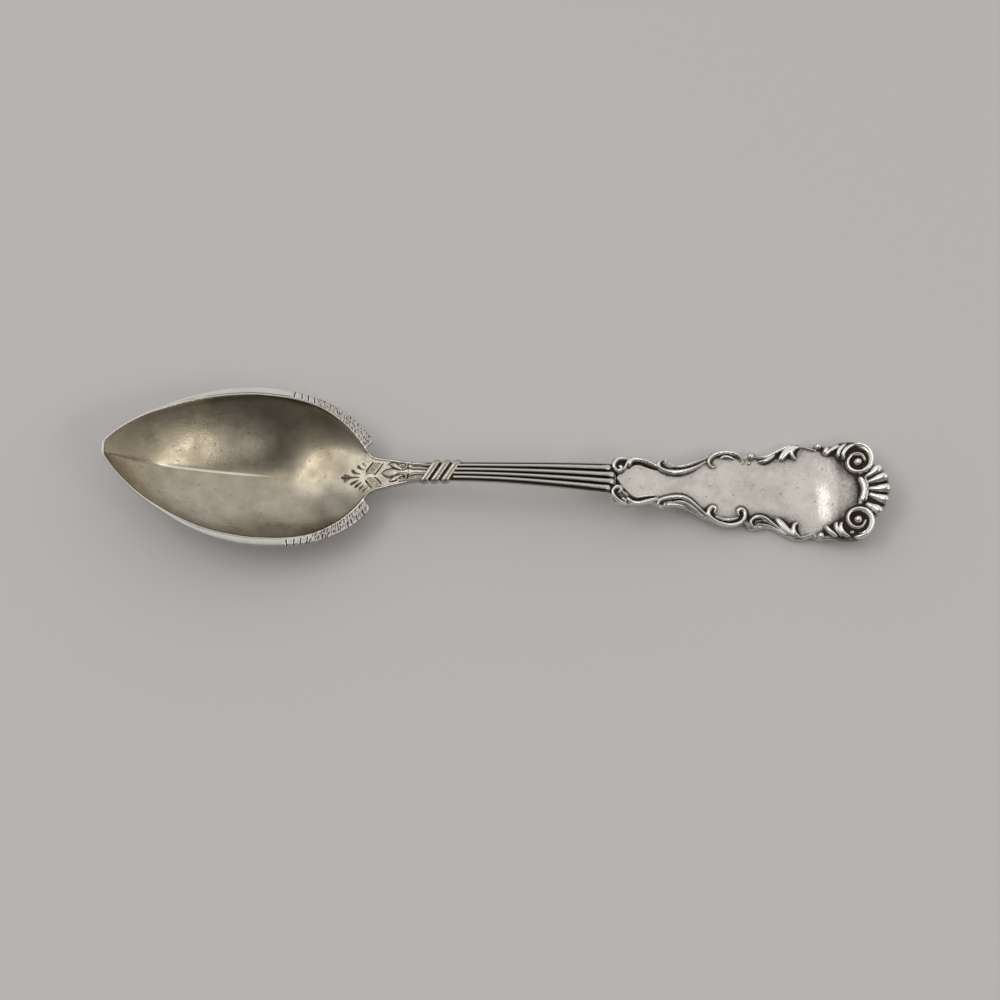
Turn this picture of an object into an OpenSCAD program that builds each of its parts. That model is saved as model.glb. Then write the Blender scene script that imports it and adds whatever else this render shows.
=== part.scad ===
// Grapefruit spoon with a keeled bowl, hooked wings, a reeded stem and a scroll and shell handle.
// X runs from the tip of the bowl to the shell, Z is up and the table is z = 0.

/* [Bowl] */
// Length of the bowl from its tip to the points of the wings
bowl_length = 47.5; // [42:0.5:55]
// Width of the bowl across the rim at its widest place
bowl_width = 29.7; // [26:0.1:34]
// Depth of the hollow below the rim at its deepest place
bowl_depth = 7.4; // [6.2:0.1:9]
// Thickness of the metal under the deepest place
floor_thickness = 1.1; // [0.8:0.05:1.6]
// Thickness of the side walls of the bowl
wall_thickness = 0.9; // [0.6:0.05:1.2]
// Height of the tip above the rim at the widest place
tip_lift = 6.3; // [4.5:0.1:8]
// Fall of the rim from the widest place to the neck
heel_drop = 3.3; // [2.6:0.1:4]
// Shift of the tip to one side, where one edge has worn away in use
tip_shift = 0.85; // [0:0.05:1.2]

/* [Rim and wings] */
// Width of the flat rim at the widest place of the bowl
rim_width = 1.6; // [1.2:0.05:2]
// Thickness of the rim
rim_thickness = 0.8; // [0.6:0.05:1.1]
// Width of the rim in front of the tip
tip_band = 0.45; // [0.3:0.05:0.6]
// Length of the hook at the end of a wing
hook_length = 1; // [0.7:0.05:1.4]
// Depth of the cuts across a wing
cut_depth = 0.16; // [0.1:0.01:0.24]

/* [Neck] */
// Length of the neck from the hooks to the binding
neck_length = 9.5; // [8:0.1:12]
// Thickness of the neck and the stem
stem_thickness = 2.3; // [1.8:0.1:3]
// Width of the bevel along the top edges of the neck and stem
edge_bevel = 0.3; // [0.2:0.02:0.4]
// Width of a lotus petal
petal_width = 0.9; // [0.7:0.05:1.1]
// Height of the petals and curls of the neck
petal_height = 0.3; // [0.2:0.05:0.45]
// Radius of a curl of the neck
neck_curl_radius = 0.55; // [0.42:0.01:0.66]

/* [Binding] */
// Length of the bound part of the stem
binding_length = 6.5; // [5.5:0.1:8]
// Width of one band
band_width = 1.85; // [1.5:0.05:2.1]
// Height of a band above the stem
band_height = 0.55; // [0.4:0.05:0.7]
// Lean of a band from one side of the stem to the other
band_lean = 1.9; // [1.4:0.1:2.4]

/* [Stem] */
// Length of the reeded stem from the binding to the handle
stem_length = 28.3; // [23:0.1:34]
// Width of the stem at the binding
stem_front_width = 3.6; // [3:0.1:4.3]
// Width of the stem at the handle
stem_back_width = 5.7; // [4.8:0.1:6.6]
// Height of the top of the stem's arch above the table
arch_height = 9.4; // [8:0.1:11.2]
// Height of a reed above the stem, as a multiple of its half width
reed_share = 0.9; // [0.7:0.05:1.1]

/* [Handle] */
// Length of the handle plate with the shell
handle_length = 50.5; // [42:0.5:60]
// Width of the handle plate across the volutes
handle_width = 19; // [16:0.1:22]
// Thickness of the handle plate
plate_thickness = 1.3; // [1.1:0.05:1.7]
// Rise of the handle's end above its lowest place
end_lift = 4.2; // [3.2:0.1:5.2]
// Depth of the flats that the spoon stands on, taken off the round underside
wear = 0.3; // [0.24:0.01:0.36]

/* [Ornament] */
// Width of a border ridge at its fullest
ridge_width = 0.95; // [0.75:0.05:1.15]
// Height of a border ridge at its fullest
ridge_height = 0.7; // [0.5:0.05:0.9]
// Width of the leaves and flutes of the border
leaf_width = 1.5; // [1.2:0.05:1.8]
// Radius of the beads, buds and buttons of the border
button_radius = 0.62; // [0.5:0.02:0.76]
// Outer radius of a volute
volute_radius = 3.4; // [2.9:0.05:3.9]
// Radius of the bead in the middle of a volute
volute_bead_radius = 0.75; // [0.6:0.02:0.9]
// Width of the arc bar in front of the shell
arc_width = 1.25; // [1:0.05:1.5]
// Width of a shell lobe at the edge of the handle
lobe_width = 1.75; // [1.4:0.05:2.1]

/* [Hidden] */

SILVER = [0.78, 0.77, 0.74];
BRIGHT = [0.9, 0.89, 0.86];
GILT = [0.72, 0.66, 0.52];
DULL = [0.62, 0.61, 0.58];

half_width = bowl_width / 2;
rim_height = bowl_depth + floor_thickness;
heel_height = rim_height - heel_drop;
heel_x = bowl_length - hook_length;
binding_x = bowl_length + neck_length;
stem_x = binding_x + binding_length;
handle_x = stem_x + stem_length;
total_length = handle_x + handle_length;
handle_half = handle_width / 2;

// Curves through tables of [place, value]
function low(t, i) = t[max(0, i - 1)];
function high(t, i) = t[min(len(t) - 1, i + 1)];
function slope(t, i) = (high(t, i)[1] - low(t, i)[1]) / (high(t, i)[0] - low(t, i)[0]);
function span(t, x, i = 0) = i >= len(t) - 2 || x < t[i + 1][0] ? i : span(t, x, i + 1);
function curve(t, x) =
  let (i = span(t, x))
  let (a = t[i])
  let (b = t[i + 1])
  let (h = b[0] - a[0])
  let (s = min(1, max(0, (x - a[0]) / h)))
  a[1] * (1 + 2 * s) * (1 - s) * (1 - s) + b[1] * s * s * (3 - 2 * s)
    + h * s * (1 - s) * (slope(t, i) * (1 - s) - slope(t, i + 1) * s);

// Smooth line through a few points of the plan, with n steps between two points
function between(p, i, s) =
  let (a = p[max(0, i - 1)])
  let (b = p[i])
  let (c = p[i + 1])
  let (d = p[min(len(p) - 1, i + 2)])
  (2 * b + (c - a) * s + (2 * a - 5 * b + 4 * c - d) * s * s
    + (3 * b - a - 3 * c + d) * s * s * s) / 2;
function smooth(p, n) = concat(
  [for (i = [0 : len(p) - 2]) for (k = [0 : n - 1]) between(p, i, k / n)],
  [p[len(p) - 1]]
);

// Spiral of n steps about a centre, from its inner end to its outer end
function coil(c, r_in, r_out, a_in, a_out, n, grow_share = 1) = [
  for (k = [0 : n])
    let (r = r_in + (r_out - r_in) * pow(k / n, grow_share))
    let (a = a_in + (a_out - a_in) * k / n)
    c + r * [cos(a), sin(a)]
];

// Solid through rings of points, closed by a cap at each end, or by joining the last ring to the first
module skin(rings, looped = false) {
  n = len(rings);
  m = len(rings[0]);
  last = looped ? n - 1 : n - 2;
  sides = [
    for (i = [0 : last]) for (j = [0 : m - 1])
      let (a = i * m + j)
      let (b = i * m + (j + 1) % m)
      let (c = ((i + 1) % n) * m + (j + 1) % m)
      let (d = ((i + 1) % n) * m + j)
      each [[a, b, c], [a, c, d]]
  ];
  caps = [
    for (j = [0 : floor((m - 1) / 2) - 1])
      let (k = m - 1 - j)
      each [[j, k, k - 1], if (k - 1 > j + 1) [j, k - 1, j + 1]]
  ];
  ends = concat(caps, [for (f = caps) [for (q = [2 : -1 : 0]) (n - 1) * m + f[q]]]);
  polyhedron([for (r = rings) each r], looped ? sides : concat(sides, ends));
}

module place() {
  translate([-total_length / 2, 0, 0]) children();
}

module mirrored(side) {
  mirror([0, side < 0 ? 1 : 0, 0]) children();
}

// Bowl

// Half width of the outline, as shares of the bowl's length and half width
outline_shares = [
  [0, 0.069], [0.006, 0.11], [0.019, 0.158], [0.048, 0.264], [0.0975, 0.409], [0.147, 0.529],
  [0.1975, 0.627], [0.299, 0.797], [0.401, 0.9165], [0.504, 0.985], [0.585, 1], [0.7105, 0.967],
  [0.814, 0.8875], [0.877, 0.793], [0.918, 0.711], [0.96, 0.605], [0.99, 0.495], [1, 0.452]
];
// Width of the rim across the bowl, as a share of rim_width
rim_shares = [
  [0, 0.4], [0.04, 0.3], [0.098, 0.3], [0.197, 0.42], [0.298, 0.64], [0.403, 0.83], [0.504, 0.97],
  [0.607, 0.98], [0.7105, 0.95], [0.782, 1.04], [0.824, 1.22], [0.877, 1.45], [0.919, 1.76],
  [0.95, 2.1], [0.97, 2.36], [1, 2.5]
];
// Rise of the rim towards the tip and its fall towards the neck
lift_shares = [[0, 1], [0.1, 0.73], [0.2, 0.52], [0.4, 0.22]];
drop_shares = [[0.6, 0], [0.714, 0.27], [0.816, 0.52], [0.918, 0.81], [0.98, 1], [1, 1.05]];
// Depth of the hollow along the keel, and how the floor thickens towards the neck
depth_shares = [
  [0, 0.06], [0.02, 0.16], [0.1, 0.47], [0.204, 0.71], [0.306, 0.83], [0.408, 0.915], [0.51, 0.975],
  [0.592, 1], [0.694, 0.9], [0.776, 0.7], [0.857, 0.46], [0.918, 0.24], [0.96, 0.11], [0.98, 0.05], [1, 0.04]
];
floor_shares = [[0, 0], [0.7, 0], [0.86, 0.4], [0.98, 1], [1, 1]];
// Power of the cross section: a crease below about 1.4 and a round floor above 2
crease_shares = [[0, 1.15], [0.4, 1.22], [0.55, 1.5], [0.7, 2.1], [0.8, 2.4], [1, 2.4]];
steep_share = 0.8;
shift_end_share = 0.42;
tip_wall_share = 0.45;
rim_wall_share = 0.92;
bowl_steps = 26;
section_steps = 16;

function outline(x) = half_width * curve(outline_shares, x / bowl_length);
function inner(x) = outline(x) - rim_width * curve(rim_shares, x / bowl_length);
rim_line = concat(
  [for (p = lift_shares) [p[0], rim_height + tip_lift * p[1]]],
  [for (p = drop_shares) [p[0], rim_height - heel_drop * p[1]]]
);
function rim_z(x) = curve(rim_line, x / bowl_length);
function shift(x) = tip_shift * pow(max(0, 1 - x / (shift_end_share * bowl_length)), 1.5);
function keel_z(x) = rim_z(x) - bowl_depth * curve(depth_shares, x / bowl_length);
function under_z(x) =
  keel_z(x) - floor_thickness - wear
    - (stem_thickness - floor_thickness - wear) * curve(floor_shares, x / bowl_length);
function sag(x, t) = pow(1 - pow(abs(t), curve(crease_shares, x / bowl_length)), steep_share);
// The wall is thinner round the tip, where the two sides meet, and never wider than the rim
function wall(x) = min(
  wall_thickness * min(1, tip_wall_share + 2 * inner(x) / half_width),
  rim_wall_share * (outline(x) - inner(x))
);

function bowl_ring(x) =
  let (w = inner(x))
  let (v = w + wall(x))
  let (top = rim_z(x))
  let (seat = top - rim_thickness)
  concat(
    [
      for (k = [0 : section_steps])
        let (t = -cos(180 * k / section_steps))
        [x, w * t + shift(x) * abs(t), top - (top - keel_z(x)) * sag(x, t)]
    ],
    [
      for (k = [0 : section_steps])
        let (t = cos(180 * k / section_steps))
        [x, v * t + shift(x) * abs(t), max(0, seat - (seat - under_z(x)) * sag(x, t))]
    ],
    [[x, shift(x) - w, seat]]
  );

// The ring gets the inner corner of the rim's seat on both sides
function seated(ring, x) =
  let (n = section_steps)
  concat(
    [for (k = [0 : n]) ring[k]],
    [[x, shift(x) + inner(x), rim_z(x) - rim_thickness]],
    [for (k = [n + 1 : 2 * n + 2]) ring[k]]
  );

module bowl() {
  color(GILT) place() skin([
    for (k = [0 : bowl_steps])
      let (s = k / bowl_steps)
      let (x = tip_band + (heel_x - tip_band) * (0.35 * s * s + 0.65 * s))
      seated(bowl_ring(x), x)
  ]);
}

// Rim

// Place of the rim's inner edge that lies across from a place on the outline
pair_shares = [[0, 0.01], [0.03, 0.035], [0.1, 0.106], [0.3, 0.305], [0.68, 0.68]];
plain_share = 0.68;
rim_steps = 16;

function rim_ring(outer_x, outer_y, inner_x, side, cut) =
  let (inner_y = shift(inner_x) + side * min(inner(inner_x), outer_y))
  let (edge_y = shift(outer_x) + side * outer_y)
  [
    [inner_x, inner_y, rim_z(inner_x) - cut],
    [outer_x, edge_y, rim_z(outer_x) - cut],
    [outer_x, edge_y, rim_z(outer_x) - rim_thickness],
    [inner_x, inner_y, rim_z(inner_x) - rim_thickness]
  ];

function plain_ring(s, side) =
  let (x = bowl_length * s)
  let (across = max(tip_band, bowl_length * curve(pair_shares, s)))
  rim_ring(x, outline(x), across, side, 0);

module rim() {
  places = [for (k = [rim_steps : -1 : 0]) plain_share * pow(k / rim_steps, 1.6)];
  nose = [
    [tip_band, shift(tip_band), rim_z(tip_band)],
    [0, shift(0), rim_z(0)],
    [0, shift(0), rim_z(0) - rim_thickness],
    [tip_band, shift(tip_band), rim_z(tip_band) - rim_thickness]
  ];
  color(BRIGHT) place() skin(concat(
    [for (s = places) plain_ring(s, 1)],
    [nose],
    [for (k = [rim_steps : -1 : 0]) plain_ring(places[k], -1)]
  ));
}

// Wings

// Four spaced cuts, then close feathering, as places along the outline
spaced_cut_shares = [0.694, 0.72, 0.744, 0.768];
spaced_half_share = 0.004;
feather_share = 0.786;
feather_end_share = 0.972;
feather_count = 18;
// Slant of the cuts, as the inner edge's place for a place on the outline
slant_shares = [[0.68, 0.68], [0.7, 0.71], [0.76, 0.775], [0.86, 0.868], [0.94, 0.925], [1, 0.966]];
// The hook, as rows of the outer edge's place along the hook, its place across, and the inner edge's
// place along the bowl
hook_shares = [[1, 0.441, 0.966], [0.85, 0.405, 0.97], [0.4, 0.375, 0.973], [0.025, 0.342, 0.9795]];

function wing_ring(s, side, cut) =
  rim_ring(bowl_length * s, outline(bowl_length * s), bowl_length * curve(slant_shares, s), side, cut);

function hook_ring(row, side) =
  rim_ring(
    heel_x + hook_length * row[0],
    half_width * row[1],
    min(heel_x, bowl_length * row[2]),
    side,
    0
  );

module wing(side) {
  spaced = [
    for (s = spaced_cut_shares)
      each [[s - spaced_half_share, 0], [s, cut_depth], [s + spaced_half_share, 0]]
  ];
  feathered = [
    for (k = [0 : 2 * feather_count])
      [
        feather_share + (feather_end_share - feather_share) * k / (2 * feather_count),
        k % 2 == 1 ? cut_depth : 0
      ]
  ];
  places = concat([[plain_share, 0]], spaced, feathered);
  rings = concat(
    [for (p = places) wing_ring(p[0], 1, p[1])],
    [for (row = hook_shares) hook_ring(row, 1)]
  );
  color(BRIGHT) place() mirrored(side) skin([for (k = [len(rings) - 1 : -1 : 0]) rings[k]]);
}

// Neck, stem and the line of the handle

// Rise from the heel to the arch, fall from the arch to the lowest place, and rise to the end
rise_neck_shares = [[0, 0], [0.2, 0.09], [0.57, 0.4], [1, 0.68]];
rise_stem_shares = [[0.19, 0.93], [0.4, 1]];
fall_stem_shares = [[0.62, 0.035], [0.85, 0.135]];
fall_handle_shares = [[0.02, 0.265], [0.18, 0.5], [0.34, 0.73], [0.48, 0.9], [0.6, 1]];
lift_end_shares = [[0.7, 0.12], [0.82, 0.45], [0.92, 0.76], [1, 1]];

function on_neck(s) = heel_x + (binding_x - heel_x) * s;
function on_stem(s) = binding_x + (handle_x - binding_x) * s;
function on_handle(s) = handle_x + handle_length * s;

top_line = concat(
  [for (p = rise_neck_shares) [on_neck(p[0]), heel_height + (arch_height - heel_height) * p[1]]],
  [for (p = rise_stem_shares) [on_stem(p[0]), heel_height + (arch_height - heel_height) * p[1]]],
  [for (p = fall_stem_shares) [on_stem(p[0]), arch_height - (arch_height - plate_thickness) * p[1]]],
  [
    for (p = fall_handle_shares)
      [on_handle(p[0]), arch_height - (arch_height - plate_thickness) * p[1]]
  ],
  [for (p = lift_end_shares) [on_handle(p[0]), plate_thickness + end_lift * p[1]]]
);
function top_z(x) = curve(top_line, x);

// Half width of the neck between the stem's and the heel's, and of the stem between its two ends
neck_shares = [
  [0, 1], [0.055, 0.67], [0.11, 0.55], [0.205, 0.425], [0.3, 0.365], [0.5, 0.24], [0.69, 0.125],
  [0.87, 0.03], [1, 0]
];
stem_shares = [[0, 0], [0.19, 0], [0.4, 0.12], [0.65, 0.45], [1, 1]];
heel_half = inner(heel_x) + wall(heel_x);
front_half = stem_front_width / 2;
back_half = stem_back_width / 2;
function neck_half(x) =
  front_half + (heel_half - front_half) * curve(neck_shares, (x - heel_x) / (binding_x - heel_x));
function stem_half(x) =
  front_half + (back_half - front_half) * curve(stem_shares, (x - binding_x) / (handle_x - binding_x));
function bar_half(x) = x < binding_x ? neck_half(x) : stem_half(x);
function dish(x) = bowl_depth * curve(depth_shares, heel_x / bowl_length)
  * max(0, 1 - 2 * (x - heel_x) / (binding_x - heel_x));

// Cross section of the bar: a flat top with bevelled edges over a round underside
bar_steps = 12;
function bar_ring(x) =
  let (w = bar_half(x))
  let (top = top_z(x))
  let (edge = w - edge_bevel)
  concat(
    [for (t = [-1, -0.5, 0, 0.5, 1]) [x, edge * t, top - dish(x) * (1 - t * t)]],
    [
      for (k = [0 : bar_steps])
        [x, w * cos(180 * k / bar_steps), top - edge_bevel
          - (stem_thickness - edge_bevel) * pow(sin(180 * k / bar_steps), 0.8)]
    ]
  );

module neck() {
  steps = 11;
  color(SILVER) place() skin([for (k = [0 : steps]) bar_ring(on_neck(pow(k / steps, 1.4)))]);
}

module stem() {
  steps = 14;
  color(DULL) place() skin([for (k = [0 : steps]) bar_ring(on_stem(k / steps))]);
}

// Ridge that lies on the top surface along a line of the plan: rows of the line are [x, y], and the
// width and height are shares of the full ones at places along it
round_shares = [[-0.5, 0], [-0.38, 0.62], [0, 1], [0.38, 0.62], [0.5, 0]];
function along(p, i) =
  let (d = p[min(len(p) - 1, i + 1)] - p[max(0, i - 1)])
  d / norm(d);
function ridge_ring(p, i, width, height, shares) =
  let (s = i / (len(p) - 1))
  let (k = curve(shares, s))
  let (a = along(p, i))
  [
    for (q = round_shares)
      let (x = p[i][0] - a[1] * q[0] * width * k)
      let (y = p[i][1] + a[0] * q[0] * width * k)
      [x, y, top_z(x) + height * q[1] * min(1, k)]
  ];

blade_shares = [[0, 0.35], [0.15, 0.8], [0.5, 1], [0.85, 0.75], [1, 0.3]];
scroll_shares = [[0, 0.55], [0.3, 0.8], [0.6, 1], [0.9, 0.6], [1, 0.3]];
even_shares = [[0, 0.5], [0.1, 0.9], [0.5, 1], [0.9, 0.9], [1, 0.5]];

module ridge(line, width = ridge_width, height = ridge_height, shares = scroll_shares) {
  skin([for (i = [0 : len(line) - 1]) ridge_ring(line, i, width, height, shares)]);
}

// Ornament of the neck: places are shares of its length and of the width of its top
function on_top(p) =
  let (x = on_neck(p[0]))
  [x, p[1] * (bar_half(x) - edge_bevel)];

petal_shares = [[0.31, 0], [0.42, 0], [0.53, 0], [0.6, 0]];
side_petal_shares = [[0.4, 0.42], [0.47, 0.55], [0.54, 0.5], [0.6, 0.3]];
neck_curl_shares = [0.665, 0.52];
reed_start_share = 0.76;

module lotus() {
  color(BRIGHT) place() {
    ridge(smooth([for (p = petal_shares) on_top(p)], 3), petal_width, petal_height, blade_shares);
    for (side = [-1, 1]) mirrored(side)
      ridge(
        smooth([for (p = side_petal_shares) on_top(p)], 3),
        petal_width * 0.6,
        petal_height,
        blade_shares
      );
  }
}

module neck_curls() {
  r = neck_curl_radius;
  color(BRIGHT) place() for (side = [-1, 1]) mirrored(side)
    ridge(
      coil(on_top(neck_curl_shares), r * 0.35, r, 180, -160, 10),
      r * 0.6,
      petal_height,
      even_shares
    );
}

// Reeds

reed_round_shares = [[-0.5, 0], [-0.43, 0.5], [-0.25, 0.87], [0, 1], [0.25, 0.87], [0.43, 0.5], [0.5, 0]];
// Rounded end of a reed: place from the end and width there, in reed widths
end_shares = [[0, 0.25], [0.1, 0.6], [0.3, 0.9], [0.55, 1]];
reed_gap_share = 0.06;
inner_end_share = 0.025;

function reed_pitch(x) = (bar_half(x) - edge_bevel) / 2;
function reed_ring(x, index, width_share) =
  let (pitch = reed_pitch(x))
  let (width = pitch * (1 - reed_gap_share) * width_share)
  [
    for (q = reed_round_shares)
      [x, pitch * (index - 1.5) + width * q[0], top_z(x) + reed_share * width / 2 * q[1]]
  ];

// Reed between two places, with its rounded end at the handle if it has one
module reed(index, x_from, x_to, steps, rounded) {
  pitch = reed_pitch(x_to);
  x_body = rounded ? x_to - pitch * end_shares[3][0] : x_to;
  body = [for (k = [0 : steps]) reed_ring(x_from + (x_body - x_from) * k / steps, index, 1)];
  tip = [for (k = [2 : -1 : 0]) reed_ring(x_to - pitch * end_shares[k][0], index, end_shares[k][1])];
  skin(rounded ? concat(body, tip) : body);
}

module neck_reeds() {
  color(SILVER) place()
    for (index = [0 : 3]) reed(index, on_neck(reed_start_share), binding_x, 2, false);
}

module stem_reed(index) {
  outer = index == 0 || index == 3;
  x_end = handle_x - stem_length * (outer ? inner_end_share : 0);
  color(BRIGHT) place() reed(index, stem_x, x_end, 12, true);
}

// Binding

band_round_shares = [[-0.5, 0], [-0.4, 0.65], [0, 1], [0.4, 0.65], [0.5, 0]];
// Place of the middle of each band, as a share of the binding's length
band_shares = [0.21, 0.5, 0.79];
function band_ring(middle, j) =
  let (flat = bar_ring(middle))
  let (m = len(flat))
  let (lean = flat[j][1] / front_half)
  let (x = middle + lean * band_lean / 2)
  let (ring = bar_ring(x))
  let (d = ring[(j + 1) % m] - ring[(j + m - 1) % m])
  let (out = [0, -d[2], d[1]] / norm([0, -d[2], d[1]]))
  [for (q = band_round_shares) ring[j] + [band_width * q[0], 0, 0] + out * band_height * q[1]];

module band(k) {
  middle = binding_x + binding_length * band_shares[k];
  m = len(bar_ring(middle));
  color(BRIGHT) place() skin([for (j = [m - 1 : -1 : 0]) band_ring(middle, j)], true);
}

// Handle plate

// Half outlines of its two sides, which differ as their ornament does
plate_right_shares = [
  [0, 0.3], [0.006, 0.37], [0.016, 0.41], [0.034, 0.444], [0.074, 0.465], [0.11, 0.444], [0.14, 0.4],
  [0.15, 0.412], [0.159, 0.462], [0.175, 0.494], [0.198, 0.461], [0.218, 0.415], [0.245, 0.416],
  [0.278, 0.486], [0.311, 0.575], [0.337, 0.642], [0.364, 0.718], [0.4, 0.763], [0.43, 0.769],
  [0.457, 0.736], [0.474, 0.695], [0.487, 0.741], [0.502, 0.783], [0.521, 0.767], [0.547, 0.742],
  [0.576, 0.788], [0.607, 0.884], [0.637, 0.966], [0.663, 0.987], [0.693, 0.954], [0.714, 0.925],
  [0.728, 0.964], [0.745, 1], [0.76, 0.958], [0.775, 0.932], [0.796, 0.938], [0.818, 0.983],
  [0.845, 1], [0.87, 0.999], [0.894, 0.979], [0.914, 0.925], [0.928, 0.851], [0.9375, 0.737],
  [0.94, 0.624], [0.94, 0.545], [0.959, 0.535], [0.97, 0.477], [0.976, 0.395], [0.991, 0.291],
  [0.992, 0.185], [0.998, 0.108], [1, 0.05]
];
plate_left_shares = [
  [0, 0.3], [0.004, 0.4], [0.012, 0.455], [0.028, 0.485], [0.061, 0.49], [0.097, 0.468], [0.13, 0.425],
  [0.154, 0.46], [0.172, 0.5], [0.195, 0.45], [0.221, 0.431], [0.254, 0.45], [0.28, 0.507],
  [0.31, 0.581], [0.343, 0.645], [0.376, 0.71], [0.409, 0.748], [0.442, 0.729], [0.466, 0.68],
  [0.479, 0.645], [0.49, 0.72], [0.505, 0.775], [0.525, 0.755], [0.548, 0.722], [0.574, 0.735],
  [0.597, 0.79], [0.623, 0.86], [0.65, 0.92], [0.68, 0.945], [0.702, 0.925], [0.722, 0.885],
  [0.738, 0.925], [0.757, 0.95], [0.777, 0.93], [0.8, 0.945], [0.83, 0.975], [0.86, 0.985],
  [0.885, 0.967], [0.905, 0.92], [0.92, 0.875], [0.932, 0.79], [0.941, 0.69], [0.943, 0.59],
  [0.94, 0.515], [0.954, 0.49], [0.966, 0.43], [0.972, 0.36], [0.981, 0.28], [0.991, 0.183],
  [0.991, 0.09], [0.997, 0.01], [1, -0.05]
];
profile_steps = 30;
thin_shares = [[0, 1], [0.08, 0.35], [0.16, 0], [1, 0]];

function on_plate(p) = [on_handle(p[0]), handle_half * p[1]];
function plate_thick(x) =
  plate_thickness + wear
    + (stem_thickness - plate_thickness - wear) * curve(thin_shares, (x - handle_x) / handle_length);

module plate() {
  right = smooth([for (p = plate_right_shares) on_plate(p)], 3);
  left = smooth([for (p = plate_left_shares) on_plate(p)], 3);
  edge = concat(right, [for (k = [len(left) - 2 : -1 : 0]) [left[k][0], -left[k][1]]]);
  places = [for (k = [0 : profile_steps]) on_handle(k / profile_steps)];
  profile = concat(
    [for (x = places) [x, top_z(x)]],
    [
      for (k = [profile_steps : -1 : 0])
        [places[k], max(0, top_z(places[k]) - plate_thick(places[k]))]
    ]
  );
  color(SILVER) place() intersection() {
    linear_extrude(arch_height) polygon(edge);
    rotate([90, 0, 0]) linear_extrude(handle_width * 2, center = true) polygon(profile);
  }
}

// Borders: every place is [share of the handle's length, share of its half width]

function plan(shares) = [for (p = shares) on_plate(p)];

root_right_shares = [
  [0.022, 0.156], [0.006, 0.191], [-0.003, 0.268], [0.002, 0.348], [0.02, 0.39], [0.048, 0.402],
  [0.0715, 0.412], [0.1, 0.392], [0.127, 0.35], [0.155, 0.293]
];
root_left_shares = [
  [0.023, 0.277], [0.016, 0.219], [0.003, 0.238], [-0.003, 0.32], [0.003, 0.4], [0.022, 0.445],
  [0.05, 0.455], [0.0755, 0.455], [0.105, 0.432], [0.134, 0.376], [0.163, 0.308]
];

// A line of the border, with a few steps between its places
module border(shares, width = ridge_width, height = ridge_height, fullness = scroll_shares, steps = 3) {
  ridge(smooth(plan(shares), steps), width, height, fullness);
}

module root_scroll_right() {
  color(BRIGHT) place() border(root_right_shares);
}

module root_scroll_left() {
  color(BRIGHT) place() mirrored(-1) border(root_left_shares);
}

side_right_shares = [
  [0.193, 0.468], [0.175, 0.469], [0.16, 0.393], [0.1645, 0.289], [0.188, 0.239], [0.221, 0.233],
  [0.251, 0.266], [0.277, 0.321], [0.305, 0.402], [0.333, 0.502]
];
side_outer_right_shares = [[0.214, 0.351], [0.241, 0.365], [0.269, 0.415], [0.298, 0.488], [0.333, 0.577]];
side_bead_share = [0.185, 0.402];
side_left_shares = [
  [0.164, 0.508], [0.157, 0.438], [0.167, 0.339], [0.193, 0.282], [0.222, 0.249], [0.252, 0.252],
  [0.278, 0.313], [0.3045, 0.42], [0.331, 0.532], [0.346, 0.609]
];
side_outer_left_shares = [
  [0.216, 0.362], [0.234, 0.341], [0.258, 0.355], [0.285, 0.434], [0.311, 0.541], [0.339, 0.643]
];
side_hook_left_shares = [[0.176, 0.49], [0.184, 0.43], [0.181, 0.385]];

module bead(share, radius) {
  spot = on_plate(share);
  translate([spot[0], spot[1], top_z(spot[0])]) intersection() {
    sphere(radius, $fn = 32);
    translate([-radius, -radius, 0]) cube(2 * radius);
  }
}

module side_scroll_right() {
  color(BRIGHT) place() {
    border(side_right_shares);
    border(side_outer_right_shares, ridge_width * 0.7, ridge_height * 0.8, blade_shares, 2);
    bead(side_bead_share, ridge_width * 0.36);
  }
}

module side_scroll_left() {
  color(BRIGHT) place() mirrored(-1) {
    border(side_left_shares, ridge_width * 0.9);
    border(side_outer_left_shares, ridge_width * 0.7, ridge_height * 0.8, blade_shares, 2);
    border(side_hook_left_shares, ridge_width * 0.5, ridge_height * 0.7, blade_shares, 2);
  }
}

c_right_shares = [
  [0.371, 0.428], [0.356, 0.406], [0.345, 0.469], [0.346, 0.554], [0.361, 0.642], [0.383, 0.701],
  [0.4125, 0.735], [0.4425, 0.715], [0.462, 0.654], [0.471, 0.568], [0.467, 0.515]
];
c_inner_right_shares = [[0.384, 0.578], [0.399, 0.638], [0.423, 0.637], [0.441, 0.594]];
c_left_shares = [
  [0.367, 0.483], [0.37, 0.41], [0.358, 0.386], [0.346, 0.454], [0.345, 0.543], [0.359, 0.628],
  [0.3855, 0.696], [0.423, 0.722], [0.456, 0.675], [0.473, 0.596], [0.479, 0.501], [0.476, 0.413],
  [0.463, 0.383], [0.453, 0.427], [0.456, 0.497]
];
c_inner_left_shares = [[0.372, 0.569], [0.397, 0.611], [0.43, 0.6], [0.456, 0.549]];

module c_scroll_right() {
  color(BRIGHT) place() {
    border(c_right_shares, ridge_width * 0.85);
    border(c_inner_right_shares, ridge_width * 0.6, ridge_height * 0.7, blade_shares);
  }
}

module c_scroll_left() {
  color(BRIGHT) place() mirrored(-1) {
    border(c_left_shares, ridge_width * 0.85, ridge_height, even_shares, 2);
    border(c_inner_left_shares, ridge_width * 0.6, ridge_height * 0.7, blade_shares);
  }
}

bud_share = [0.502, 0.695];
drop_share = [0.494, 0.55];
module bud_right() {
  color(BRIGHT) place() {
    bead(bud_share, button_radius);
    bead(drop_share, button_radius * 0.6);
  }
}

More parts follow.
